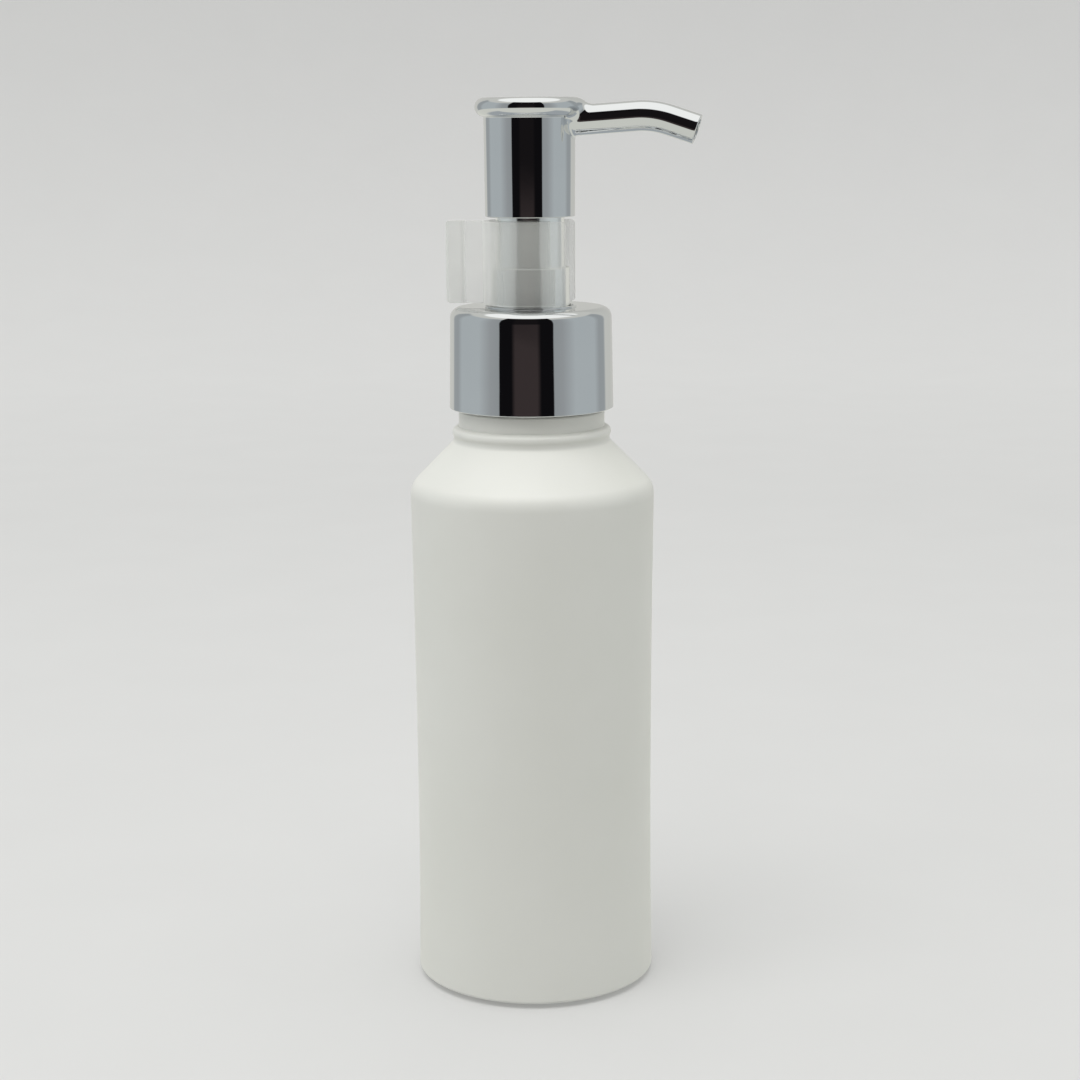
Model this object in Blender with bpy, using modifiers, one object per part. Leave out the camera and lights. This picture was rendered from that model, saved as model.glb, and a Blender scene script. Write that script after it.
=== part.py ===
"""Pump oil bottle: a 100 ml blow-moulded bottle with a long-nozzle lotion pump.

The bottle stands on the XY plane with its axis on +Z, and the spout points along +X.
Every piece of the pump is a separate solid: the closure and its plated shell, the guide,
housing, ball, spring, piston, rod and stem, the head with its spout, and the lock clip.

All dimensions below are in millimetres and are turned into metres by MM.
"""

from math import asin, cos, degrees, pi, radians, sin, tan

import bmesh
import bpy
from mathutils import Vector

MM = 0.001
GAP = 0.3  # clearance between pieces that touch
SEAT_GAP = 0.2  # clearance in the stack of flanges that the closure clamps
EDGE = 0.3  # chamfer of a moulded edge
FINE_EDGE = 0.2  # chamfer of a thin moulded edge

# ---- bottle ----
BODY_TOP_R = 21.25  # just under the shoulder
BODY_WAIST_R = 20.8  # the sides pull in a little between shoulder and foot
BODY_FOOT_R = 21.1
WAIST_Z = 32.0
SIDE_HEIGHTS = (70.0, 52.0, WAIST_Z, 12.0)  # rings that follow the side's curve
INNER_SIDE_HEIGHTS = (WAIST_Z, 60.0)
SHOULDER_ROUND = 4.0
SHOULDER_ANGLE = 45.5  # slope of the cone below the horizontal, in degrees
CONE_TOP_R = 13.35
CONE_TOP_Z = 97.0
FOOT_ROUND = 2.4
WALL = 1.1
INNER_FOOT_ROUND = 1.5
BEAD_R = 13.8
BEAD_TOP_Z = 99.3
BEAD_ROUND = 0.9
BEAD_DROP = 1.0  # from the bead's top to the middle of its rounding
NECK_RING_R = 12.65
NECK_RING_TOP_Z = 102.2
NECK_FILLET = 0.55  # between the neck ring's top and the thread's wall
THREAD_WALL_R = 10.95  # outside of the neck between the thread's turns
NECK_BORE_R = 9.0
NECK_BORE_FLARE = 1.5  # height over which the bore opens into the shoulder
LAND_Z = 114.9  # sealing face at the top of the neck

# ---- screw thread (24 mm neck finish, 8 turns an inch) ----
THREAD_PITCH = 3.175
THREAD_RIDGE = 0.75  # radius of the rounded ridge
MALE_RIDGE_R = 11.15  # path radius of the bottle's ridge
FEMALE_RIDGE_R = 12.0  # path radius of the closure's ridge
MALE_START_Z = 106.6
MALE_TURNS = 1.5
FEMALE_TURNS = 1.25
THREAD_POINTS = 20  # path points in a turn
THREAD_FADE = 3  # points over which a ridge's end tapers
THREAD_TIP = 0.25  # share of the ridge's radius that is left at its end

# ---- closure stack: gasket, housing flange, guide flange, closure, plated shell ----
GASKET_IN_R = 8.1
GASKET_OUT_R = 11.2
GASKET_T = 0.9
HOUSING_FLANGE_R = 10.8
HOUSING_FLANGE_T = 0.8
GUIDE_FLANGE_R = 9.8
GUIDE_FLANGE_T = 0.7
CLOSURE_BOTTOM_Z = 102.9
CLOSURE_BOTTOM_R = 13.3
CLOSURE_TOP_R = 13.0
CLOSURE_BORE_R = 12.3
CLOSURE_TOP_T = 1.0
CLOSURE_CHAMFER = 1.2
SHELL_BOTTOM_Z = 102.5
SHELL_TOP_Z = 119.9
SHELL_BOTTOM_R = 14.2
SHELL_TOP_R = 13.9
SHELL_WALL = 0.55
SHELL_ROUND = 1.8
LIP_R = 7.9  # raised lip round the shell's hole
LIP_H = 0.25

# ---- guide (the fixed plated chimney that the head slides in) ----
GUIDE_R = 6.7
GUIDE_BORE_R = 6.1
GUIDE_TOP_Z = 126.7
GUIDE_BOTTOM_Z = 108.3
GUIDE_FLOOR_T = 1.1
STEM_HOLE_R = 2.5

# ---- pump housing ----
CUP_R = 7.8
CUP_BORE_R = 7.0
CUP_FLOOR_Z = 107.6
CUP_FLOOR_T = 1.0
CUP_CORNER = 0.6
BARREL_R = 4.5
BARREL_BORE_R = 3.45
LEDGE_Z = 81.0  # the spring stands here
LEDGE_TAPER = 1.8  # height over which the barrel narrows under the ledge
BALL_LIP_R = 1.35
BALL_CHAMBER_R = 1.85
BALL_CHAMBER_TOP_Z = 79.9
BALL_CHAMBER_TAPER = 0.5
BALL_SEAT_TOP_Z = 77.2
BALL_SEAT_BOTTOM_Z = 76.2
INLET_R = 1.0
SOCKET_R = 3.1
SOCKET_BORE_R = 2.1
SOCKET_TOP_Z = 74.9
SOCKET_BOTTOM_Z = 66.0

# ---- ball, spring, piston, rod, stem, dip tube ----
BALL_R = 1.5
BALL_Z = 77.6
SPRING_R = 2.75  # to the middle of the wire
SPRING_WIRE_R = 0.3
SPRING_TURNS = 7
SPRING_POINTS = 9  # path points in a turn
SPRING_CLEAR = 0.15
ROD_FLANGE_Z = 100.9
ROD_FLANGE_R = 3.0
ROD_SHANK_R = 1.2
ROD_TOP_Z = 112.0
ROD_SPIGOT_R = 1.9
ROD_SPIGOT_H = 2.0
ROD_RIM_T = 0.7  # thickness of the flange at its rim
ROD_CONE_R = 2.3  # the valve cone narrows from here to the shank
ROD_CONE_BOTTOM = 0.9  # heights above the flange's underside
ROD_CONE_TOP = 1.85
PISTON_BOTTOM_Z = 102.4
PISTON_TOP_Z = 106.2
PISTON_LIP_R = 3.3
PISTON_WAIST_R = 2.85
PISTON_WAIST_H = 1.0
PISTON_BORE_R = 1.6
PISTON_CUP_R = 2.7  # edge of the hollow in its top
PISTON_CUP_DEPTH = 0.4
PISTON_SEAT_R = 2.6  # edge of the seat for the rod's cone
PISTON_SEAT_H = 0.85
STEM_R = 2.2
STEM_BORE_R = 1.35
STEM_BOTTOM_Z = 107.0
STEM_SHOULDER_R = 3.15
STEM_SHOULDER_H = 1.1
STEM_TOP_Z = 141.0
STEM_LEAD_H = 0.4  # height of the lead-in chamfer at its top
DIP_TUBE_R = 1.8
DIP_TUBE_BORE_R = 1.25
DIP_TUBE_BOTTOM_Z = 3.0
DIP_TUBE_CUT = 40.0  # slope of the cut at its foot, in degrees

# ---- head: core, plated shell, spout ----
CORE_SLEEVE_R = 5.9
CORE_SLEEVE_T = 0.8
CORE_BOTTOM_Z = 123.4
CORE_BOSS_R = 3.4
CORE_BOSS_BOTTOM_Z = 128.0
CORE_SOCKET_R = 2.45
CORE_WEB_Z = 142.0
CORE_BLOCK_R = 6.7
CORE_BLOCK_Z = 144.2
CORE_BLOCK_TAPER = 0.8
CORE_TOP_Z = 153.3
CHANNEL_R = 1.35
PORT_DROP = 0.4  # how far the core's side port lies under the spout's root
HEAD_TOP_Z = 155.2
HEAD_BOTTOM_Z = 135.25
HEAD_BOTTOM_R = 7.68
HEAD_NECK_R = 7.8
HEAD_BORE_R = 7.1
HEAD_ROOF_Z = 153.6
FLANGE_R = 9.3
FLANGE_ROUND = 1.6
FLANGE_COVE_Z = 151.65
FLANGE_COVE_H = 0.25
FLANGE_COVE_R = 0.15  # how far the cove stands out from the skirt
SPOUT_R = 2.47
SPOUT_BORE_R = 1.85
SPOUT_ROOT_X = 6.95
SPOUT_ROOT_Z = 151.17
SPOUT_RISE = 3.9  # slope of the straight root, in degrees
SPOUT_DROOP = 18.4  # slope of the drooping tip, in degrees
SPOUT_STRAIGHT_X = 18.3  # where the bend starts
SPOUT_BEND_R = 14.5
SPOUT_TIP_X = 28.6
SPOUT_HOLE_GAP = 0.15
SPOUT_BEND_STEPS = 5
CUT_OVERRUN = 1.0  # how far a cutter runs past the face that it opens

# ---- lock clip ----
CLIP_BOTTOM_Z = 120.4
CLIP_TOP_Z = 134.55
CLIP_BORE_R = 6.9
CLIP_WALL = 0.95
CLIP_MOUTH = 46.0  # half of the mouth's angle, in degrees
CLIP_LIP_ROUND = 1.3  # radius of the flare at the end of each arm
CLIP_LIP_TURN = 70.0  # how far the flare turns, in degrees
CLIP_TAB_X = -14.8
CLIP_TAB_T = 1.1
CLIP_TAB_BEAD_R = 0.8
CLIP_ARM_STEPS = 12
CLIP_LIP_STEPS = 4

ROUND_STEPS = 40  # faces round the outer pieces
FINE_STEPS = 24  # faces round the inner pieces
SMOOTH_LIMIT = radians(35)


# ---------------------------------------------------------------- scene and helpers


def clear_scene():
    for obj in list(bpy.data.objects):
        bpy.data.objects.remove(obj, do_unlink=True)


def new_collection(name):
    collection = bpy.data.collections.new(name)
    bpy.context.scene.collection.children.link(collection)
    return collection


def material(name, color, roughness, metallic=0.0, alpha=1.0):
    mat = bpy.data.materials.new(name)
    mat.use_nodes = True
    shader = mat.node_tree.nodes["Principled BSDF"]
    shader.inputs["Base Color"].default_value = (*color, 1.0)
    shader.inputs["Roughness"].default_value = roughness
    shader.inputs["Metallic"].default_value = metallic
    shader.inputs["Alpha"].default_value = alpha
    return mat


def arc(center_r, center_z, radius, start, end, steps):
    """Points of an arc from start to end degrees, steps pieces, both ends included."""
    points = []
    for i in range(steps + 1):
        a = radians(start + (end - start) * i / steps)
        points.append((center_r + radius * cos(a), center_z + radius * sin(a)))
    return points


def link(obj, collection):
    collection.objects.link(obj)
    return obj


def bake(obj):
    """Replace an object's data by its evaluated mesh, and shade it smooth."""
    depsgraph = bpy.context.evaluated_depsgraph_get()
    mesh = bpy.data.meshes.new_from_object(obj.evaluated_get(depsgraph))
    mesh.name = obj.name
    obj.modifiers.clear()
    obj.data = mesh
    mesh.shade_smooth()
    mesh.set_sharp_from_angle(angle=SMOOTH_LIMIT)
    return obj


def finish(obj, mat):
    bake(obj)
    obj.data.materials.clear()
    obj.data.materials.append(mat)
    return obj


def lathe(name, profile, collection, steps=ROUND_STEPS):
    """Turn a profile of (radius, height) points about Z.

    A profile that starts and ends on the axis stays open there, and any other is closed.
    Its outer side runs from top to bottom.
    """
    vertices = [(r * MM, 0.0, z * MM) for r, z in profile]
    edges = [(i, i + 1) for i in range(len(vertices) - 1)]
    if profile[0][0] > 0 or profile[-1][0] > 0:
        edges.append((len(vertices) - 1, 0))
    mesh = bpy.data.meshes.new(name)
    mesh.from_pydata(vertices, edges, [])
    obj = link(bpy.data.objects.new(name, mesh), collection)
    screw = obj.modifiers.new("turn", "SCREW")
    screw.axis = "Z"
    screw.steps = steps
    screw.render_steps = steps
    screw.use_merge_vertices = True
    screw.merge_threshold = 0.00001
    screw.use_normal_calculate = False
    return obj


def tube(name, points, radius, collection, resolution=2, scales=None):
    """A solid rod along points, as a mesh with its caps welded on."""
    curve = bpy.data.curves.new(name, "CURVE")
    curve.dimensions = "3D"
    curve.bevel_depth = radius * MM
    curve.bevel_resolution = resolution
    curve.use_fill_caps = True
    curve.twist_mode = "Z_UP"
    spline = curve.splines.new("POLY")
    spline.points.add(len(points) - 1)
    for i, (x, y, z) in enumerate(points):
        spline.points[i].co = (x * MM, y * MM, z * MM, 1.0)
        spline.points[i].radius = scales[i] if scales else 1.0
    source = link(bpy.data.objects.new(name + "_path", curve), collection)
    return curve_to_mesh(source, name, collection)


def curve_to_mesh(source, name, collection):
    bpy.context.view_layer.update()
    depsgraph = bpy.context.evaluated_depsgraph_get()
    mesh = bpy.data.meshes.new_from_object(source.evaluated_get(depsgraph))
    work = bmesh.new()
    work.from_mesh(mesh)
    bmesh.ops.remove_doubles(work, verts=work.verts, dist=0.000001)
    bmesh.ops.recalc_face_normals(work, faces=work.faces)
    work.to_mesh(mesh)
    work.free()
    obj = link(bpy.data.objects.new(name, mesh), collection)
    obj.matrix_world = source.matrix_world
    bpy.data.objects.remove(source, do_unlink=True)
    return obj


def boolean(obj, other, operation):
    other.hide_render = True
    other.display_type = "WIRE"
    modifier = obj.modifiers.new(operation.lower(), "BOOLEAN")
    modifier.operation = operation
    modifier.solver = "EXACT"
    modifier.object = other


def helix(radius, start_z, turns, per_turn, pitch, phase=0.0):
    count = round(turns * per_turn)
    points = []
    for i in range(count + 1):
        turn = i / per_turn
        a = 2 * pi * turn + phase
        points.append((radius * cos(a), radius * sin(a), start_z + pitch * turn))
    return points


def thread_ridge(name, radius, start_z, turns, phase, collection):
    """A rounded thread ridge whose two ends taper away."""
    points = helix(radius, start_z, turns, THREAD_POINTS, THREAD_PITCH, phase)
    last = len(points) - 1
    scales = []
    for i in range(len(points)):
        near_end = min(i, last - i, THREAD_FADE) / THREAD_FADE
        scales.append(THREAD_TIP + (1 - THREAD_TIP) * near_end)
    return tube(name, points, THREAD_RIDGE, collection, 1, scales)


# ---------------------------------------------------------------- bottle


def body_radius(z):
    """The body's outer radius: widest at the shoulder, pulled in at the waist."""
    if z > WAIST_Z:
        share = (z - WAIST_Z) / (shoulder_foot_z() - WAIST_Z)
        return BODY_WAIST_R + (BODY_TOP_R - BODY_WAIST_R) * share**2
    share = (WAIST_Z - z) / WAIST_Z
    return BODY_WAIST_R + (BODY_FOOT_R - BODY_WAIST_R) * share**2


def shoulder_corner_z():
    """Height at which the shoulder's cone would meet the body's side."""
    return CONE_TOP_Z - (BODY_TOP_R - CONE_TOP_R) * tan(radians(SHOULDER_ANGLE))


def shoulder_foot_z():
    """Height at which the shoulder's rounding ends on the body."""
    turn = radians(90 - SHOULDER_ANGLE)
    return shoulder_corner_z() - SHOULDER_ROUND * tan(turn / 2)


def bottle_outside():
    """Outer side from the sealing land down to the foot."""
    neck = [
        (THREAD_WALL_R - EDGE, LAND_Z),
        (THREAD_WALL_R, LAND_Z - EDGE),
        (THREAD_WALL_R, NECK_RING_TOP_Z + NECK_FILLET),
        (THREAD_WALL_R + NECK_FILLET, NECK_RING_TOP_Z),
        (NECK_RING_R - EDGE, NECK_RING_TOP_Z),
        (NECK_RING_R, NECK_RING_TOP_Z - EDGE),
        (NECK_RING_R, BEAD_TOP_Z),
    ]
    bead = arc(BEAD_R - BEAD_ROUND, BEAD_TOP_Z - BEAD_DROP, BEAD_ROUND, 70, -50, 3)
    centre_r = BODY_TOP_R - SHOULDER_ROUND
    shoulder = arc(centre_r, shoulder_foot_z(), SHOULDER_ROUND, 90 - SHOULDER_ANGLE, 0, 3)
    side = [(body_radius(z), z) for z in SIDE_HEIGHTS]
    foot_r = body_radius(FOOT_ROUND) - FOOT_ROUND
    foot = arc(foot_r, FOOT_ROUND, FOOT_ROUND, 0, -90, 4)
    return neck + bead + [(CONE_TOP_R, CONE_TOP_Z)] + shoulder + side + foot


def bottle_inside():
    """Inner side from the base's middle up to the sealing land."""
    corner_r = body_radius(0) - WALL - INNER_FOOT_ROUND
    corner = arc(corner_r, WALL + INNER_FOOT_ROUND, INNER_FOOT_ROUND, -90, 0, 1)
    heights = (*INNER_SIDE_HEIGHTS, shoulder_foot_z())
    side = [(body_radius(z) - WALL, z) for z in heights]
    centre_r = BODY_TOP_R - SHOULDER_ROUND
    inner_round = SHOULDER_ROUND - WALL
    shoulder = arc(centre_r, shoulder_foot_z(), inner_round, 0, 90 - SHOULDER_ANGLE, 2)
    throat_z = CONE_TOP_Z + (CONE_TOP_R - NECK_BORE_R) - WALL / cos(radians(SHOULDER_ANGLE))
    neck = [(NECK_BORE_R, throat_z - NECK_BORE_FLARE), (NECK_BORE_R, LAND_Z)]
    return [(0.0, WALL)] + corner + side + shoulder[1:] + neck


def make_bottle(parts, helpers, mat):
    profile = bottle_inside() + bottle_outside() + [(0.0, 0.0)]
    bottle = lathe("bottle", profile, parts)
    ridge = thread_ridge(
        "neck_ridge", MALE_RIDGE_R, MALE_START_Z, MALE_TURNS, 0.0, helpers
    )
    boolean(bottle, ridge, "UNION")
    return finish(bottle, mat)


# ---------------------------------------------------------------- closure stack


def stack_heights():
    """Bottom heights of the pieces that are clamped above the sealing land."""
    gasket = LAND_Z + SEAT_GAP
    housing = gasket + GASKET_T + SEAT_GAP
    guide = housing + HOUSING_FLANGE_T + SEAT_GAP
    closure = guide + GUIDE_FLANGE_T + SEAT_GAP
    return {"gasket": gasket, "housing": housing, "guide": guide, "closure": closure}


def make_gasket(parts, mat):
    low = stack_heights()["gasket"]
    high = low + GASKET_T
    profile = [
        (GASKET_IN_R, high),
        (GASKET_OUT_R, high),
        (GASKET_OUT_R, low),
        (GASKET_IN_R, low),
    ]
    return finish(lathe("neck_gasket", profile, parts, FINE_STEPS), mat)


def make_closure(parts, helpers, mat):
    """Threaded inner cap, with a hole for the guide in its top."""
    roof = stack_heights()["closure"]
    top = roof + CLOSURE_TOP_T
    hole_r = GUIDE_R + GAP
    profile = [
        (hole_r, top),
        (CLOSURE_TOP_R - CLOSURE_CHAMFER, top),
        (CLOSURE_TOP_R, top - CLOSURE_CHAMFER),
        (CLOSURE_BOTTOM_R, CLOSURE_BOTTOM_Z),
        (CLOSURE_BORE_R, CLOSURE_BOTTOM_Z),
        (CLOSURE_BORE_R, roof),
        (hole_r, roof),
    ]
    closure = lathe("threaded_closure", profile, parts)
    start_z = MALE_START_Z - THREAD_PITCH / 2
    ridge = thread_ridge(
        "closure_ridge", FEMALE_RIDGE_R, start_z, FEMALE_TURNS, 0.0, helpers
    )
    boolean(closure, ridge, "UNION")
    return finish(closure, mat)


def make_collar_shell(parts, mat):
    """Thin plated shell over the closure, with a raised lip round its hole."""
    hole_r = GUIDE_R + GAP
    lip_z = SHELL_TOP_Z + LIP_H
    inner_top_r = SHELL_TOP_R - SHELL_WALL
    under_z = SHELL_TOP_Z - SHELL_WALL
    inner_round = SHELL_ROUND - SHELL_WALL
    profile = [(hole_r, lip_z), (LIP_R - EDGE, lip_z), (LIP_R, lip_z - EDGE)]
    profile.append((LIP_R, SHELL_TOP_Z))
    centre = (SHELL_TOP_R - SHELL_ROUND, SHELL_TOP_Z - SHELL_ROUND)
    profile += arc(*centre, SHELL_ROUND, 90, 0, 4)
    profile.append((SHELL_BOTTOM_R, SHELL_BOTTOM_Z))
    profile.append((SHELL_BOTTOM_R - SHELL_WALL, SHELL_BOTTOM_Z))
    profile += arc(inner_top_r - inner_round, under_z - inner_round, inner_round, 0, 90, 2)
    profile.append((hole_r, under_z))
    return finish(lathe("collar_shell", profile, parts), mat)


def make_guide(parts, mat):
    """Chimney that guides the head, with the floor that stops the stem's shoulder."""
    flange_z = stack_heights()["guide"]
    floor_z = GUIDE_BOTTOM_Z + GUIDE_FLOOR_T
    profile = [
        (GUIDE_BORE_R + FINE_EDGE, GUIDE_TOP_Z),
        (GUIDE_R - FINE_EDGE, GUIDE_TOP_Z),
        (GUIDE_R, GUIDE_TOP_Z - FINE_EDGE),
        (GUIDE_R, flange_z + GUIDE_FLANGE_T),
        (GUIDE_FLANGE_R, flange_z + GUIDE_FLANGE_T),
        (GUIDE_FLANGE_R, flange_z),
        (GUIDE_R, flange_z),
        (GUIDE_R, GUIDE_BOTTOM_Z),
        (STEM_HOLE_R, GUIDE_BOTTOM_Z),
        (STEM_HOLE_R, floor_z),
        (GUIDE_BORE_R, floor_z),
        (GUIDE_BORE_R, GUIDE_TOP_Z - FINE_EDGE),
    ]
    return finish(lathe("guide_chimney", profile, parts), mat)


# ---------------------------------------------------------------- pump


def make_housing(parts, mat):
    """Flange, cup, barrel, ball chamber and dip-tube socket in one moulding."""
    flange_z = stack_heights()["housing"]
    flange_top = flange_z + HOUSING_FLANGE_T
    outside = [
        (CUP_BORE_R, flange_top),
        (HOUSING_FLANGE_R, flange_top),
        (HOUSING_FLANGE_R, flange_z),
        (CUP_R, flange_z),
        (CUP_R, CUP_FLOOR_Z - CUP_FLOOR_T + CUP_CORNER),
        (CUP_R - CUP_CORNER, CUP_FLOOR_Z - CUP_FLOOR_T),
        (BARREL_R, CUP_FLOOR_Z - CUP_FLOOR_T),
        (BARREL_R, LEDGE_Z),
        (SOCKET_R, LEDGE_Z - LEDGE_TAPER),
        (SOCKET_R, SOCKET_BOTTOM_Z),
        (SOCKET_BORE_R, SOCKET_BOTTOM_Z),
    ]
    inside = [
        (SOCKET_BORE_R, SOCKET_TOP_Z),
        (INLET_R, SOCKET_TOP_Z),
        (INLET_R, BALL_SEAT_BOTTOM_Z),
        (BALL_CHAMBER_R, BALL_SEAT_TOP_Z),
        (BALL_CHAMBER_R, BALL_CHAMBER_TOP_Z),
        (BALL_LIP_R, BALL_CHAMBER_TOP_Z + BALL_CHAMBER_TAPER),
        (BALL_LIP_R, LEDGE_Z),
        (BARREL_BORE_R, LEDGE_Z),
        (BARREL_BORE_R, CUP_FLOOR_Z),
        (CUP_BORE_R, CUP_FLOOR_Z),
    ]
    return finish(lathe("pump_housing", outside + inside, parts, FINE_STEPS), mat)


def make_ball(parts, mat):
    mesh = bpy.data.meshes.new("inlet_ball")
    work = bmesh.new()
    bmesh.ops.create_uvsphere(work, u_segments=12, v_segments=8, radius=BALL_R * MM)
    work.to_mesh(mesh)
    work.free()
    ball = link(bpy.data.objects.new("inlet_ball", mesh), parts)
    ball.location = (0.0, 0.0, BALL_Z * MM)
    return finish(ball, mat)


def make_spring(parts, mat):
    low = LEDGE_Z + SPRING_WIRE_R + SPRING_CLEAR
    high = ROD_FLANGE_Z - SPRING_WIRE_R - SPRING_CLEAR
    pitch = (high - low) / SPRING_TURNS
    points = helix(SPRING_R, low, SPRING_TURNS, SPRING_POINTS, pitch)
    return finish(tube("return_spring", points, SPRING_WIRE_R, parts), mat)


def make_piston(parts, mat):
    """Soft sleeve with a sealing lip at each end, free to slip a little on the rod."""
    middle = (PISTON_BOTTOM_Z + PISTON_TOP_Z) / 2
    profile = [
        (PISTON_BORE_R, PISTON_TOP_Z - PISTON_CUP_DEPTH),
        (PISTON_CUP_R, PISTON_TOP_Z - PISTON_CUP_DEPTH),
        (PISTON_LIP_R - FINE_EDGE, PISTON_TOP_Z),
        (PISTON_LIP_R, PISTON_TOP_Z - FINE_EDGE),
        (PISTON_WAIST_R, middle + PISTON_WAIST_H / 2),
        (PISTON_WAIST_R, middle - PISTON_WAIST_H / 2),
        (PISTON_LIP_R, PISTON_BOTTOM_Z + FINE_EDGE),
        (PISTON_LIP_R - FINE_EDGE, PISTON_BOTTOM_Z),
        (PISTON_SEAT_R, PISTON_BOTTOM_Z),
        (PISTON_BORE_R, PISTON_BOTTOM_Z + PISTON_SEAT_H),
    ]
    return finish(lathe("piston", profile, parts, FINE_STEPS), mat)


def make_rod(parts, mat):
    """Valve rod: shank in the stem, cone under the piston, flange on the spring."""
    profile = [
        (0.0, ROD_TOP_Z),
        (ROD_SHANK_R - EDGE, ROD_TOP_Z),
        (ROD_SHANK_R, ROD_TOP_Z - EDGE),
        (ROD_SHANK_R, ROD_FLANGE_Z + ROD_CONE_TOP),
        (ROD_CONE_R, ROD_FLANGE_Z + ROD_CONE_BOTTOM),
        (ROD_FLANGE_R, ROD_FLANGE_Z + ROD_RIM_T),
        (ROD_FLANGE_R, ROD_FLANGE_Z),
        (ROD_SPIGOT_R, ROD_FLANGE_Z),
        (ROD_SPIGOT_R, ROD_FLANGE_Z - ROD_SPIGOT_H + EDGE),
        (ROD_SPIGOT_R - EDGE, ROD_FLANGE_Z - ROD_SPIGOT_H),
        (0.0, ROD_FLANGE_Z - ROD_SPIGOT_H),
    ]
    return finish(lathe("piston_rod", profile, parts, FINE_STEPS), mat)


def make_stem(parts, mat):
    """Hollow stem from the piston up into the head, with its stop shoulder."""
    shoulder_top = STEM_BOTTOM_Z + STEM_SHOULDER_H
    profile = [
        (STEM_BORE_R, STEM_TOP_Z),
        (STEM_R - FINE_EDGE, STEM_TOP_Z),
        (STEM_R, STEM_TOP_Z - STEM_LEAD_H),
        (STEM_R, shoulder_top),
        (STEM_SHOULDER_R, shoulder_top),
        (STEM_SHOULDER_R, STEM_BOTTOM_Z),
        (STEM_BORE_R, STEM_BOTTOM_Z),
    ]
    return finish(lathe("stem", profile, parts, FINE_STEPS), mat)


def make_dip_tube(parts, helpers, mat):
    """Straight suction tube whose foot is cut on a slope."""
    top = SOCKET_TOP_Z - GAP
    profile = [
        (DIP_TUBE_BORE_R, top),
        (DIP_TUBE_R, top),
        (DIP_TUBE_R, DIP_TUBE_BOTTOM_Z),
        (DIP_TUBE_BORE_R, DIP_TUBE_BOTTOM_Z),
    ]
    dip_tube = lathe("dip_tube", profile, parts, FINE_STEPS)
    size = 6 * DIP_TUBE_R
    slope = radians(DIP_TUBE_CUT)
    bpy.ops.mesh.primitive_cube_add(size=size * MM)
    cutter = bpy.context.active_object
    cutter.name = "dip_tube_cutter"
    for collection in list(cutter.users_collection):
        collection.objects.unlink(cutter)
    link(cutter, helpers)
    rise = DIP_TUBE_R * tan(slope) - size / 2 / cos(slope)
    cutter.location = (0.0, 0.0, (DIP_TUBE_BOTTOM_Z + rise) * MM)
    cutter.rotation_euler = (0.0, slope, 0.0)
    boolean(dip_tube, cutter, "DIFFERENCE")
    return finish(dip_tube, mat)


# ---------------------------------------------------------------- head


def spout_path(end_x=SPOUT_TIP_X, start_x=SPOUT_ROOT_X):
    """Centre line of the spout: a rising straight, a bend and a drooping tip."""
    rise, droop = radians(SPOUT_RISE), radians(SPOUT_DROOP)
    points = []
    start_z = SPOUT_ROOT_Z + (start_x - SPOUT_ROOT_X) * tan(rise)
    bend_z = SPOUT_ROOT_Z + (SPOUT_STRAIGHT_X - SPOUT_ROOT_X) * tan(rise)
    points.append((start_x, 0.0, start_z))
    centre_x = SPOUT_STRAIGHT_X + SPOUT_BEND_R * sin(rise)
    centre_z = bend_z - SPOUT_BEND_R * cos(rise)
    for i in range(SPOUT_BEND_STEPS + 1):
        a = -rise + (rise + droop) * i / SPOUT_BEND_STEPS
        points.append(
            (centre_x + SPOUT_BEND_R * sin(a), 0.0, centre_z + SPOUT_BEND_R * cos(a))
        )
    last_x, _, last_z = points[-1]
    points.append((end_x, 0.0, last_z - (end_x - last_x) * tan(droop)))
    return points


def make_core(parts, helpers, mat):
    """Core of the head: sleeve in the guide, socket for the stem, elbow channel."""
    sleeve_in = CORE_SLEEVE_R - CORE_SLEEVE_T
    profile = [
        (0.0, CORE_TOP_Z),
        (CORE_BLOCK_R, CORE_TOP_Z),
        (CORE_BLOCK_R, CORE_BLOCK_Z),
        (CORE_SLEEVE_R, CORE_BLOCK_Z - CORE_BLOCK_TAPER),
        (CORE_SLEEVE_R, CORE_BOTTOM_Z + EDGE),
        (CORE_SLEEVE_R - EDGE, CORE_BOTTOM_Z),
        (sleeve_in, CORE_BOTTOM_Z),
        (sleeve_in, CORE_WEB_Z),
        (CORE_BOSS_R, CORE_WEB_Z),
        (CORE_BOSS_R, CORE_BOSS_BOTTOM_Z),
        (CORE_SOCKET_R, CORE_BOSS_BOTTOM_Z),
        (CORE_SOCKET_R, STEM_TOP_Z + SEAT_GAP),
        (CHANNEL_R, STEM_TOP_Z + SEAT_GAP),
        (CHANNEL_R, SPOUT_ROOT_Z),
        (0.0, SPOUT_ROOT_Z),
    ]
    core = lathe("head_core", profile, parts, FINE_STEPS)
    port_z = SPOUT_ROOT_Z - PORT_DROP
    port_path = [(-CHANNEL_R / 4, 0, port_z), (CORE_BLOCK_R + CHANNEL_R, 0, port_z)]
    port = tube("core_port", port_path, CHANNEL_R, helpers)
    boolean(core, port, "DIFFERENCE")
    return finish(core, mat)


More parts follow.
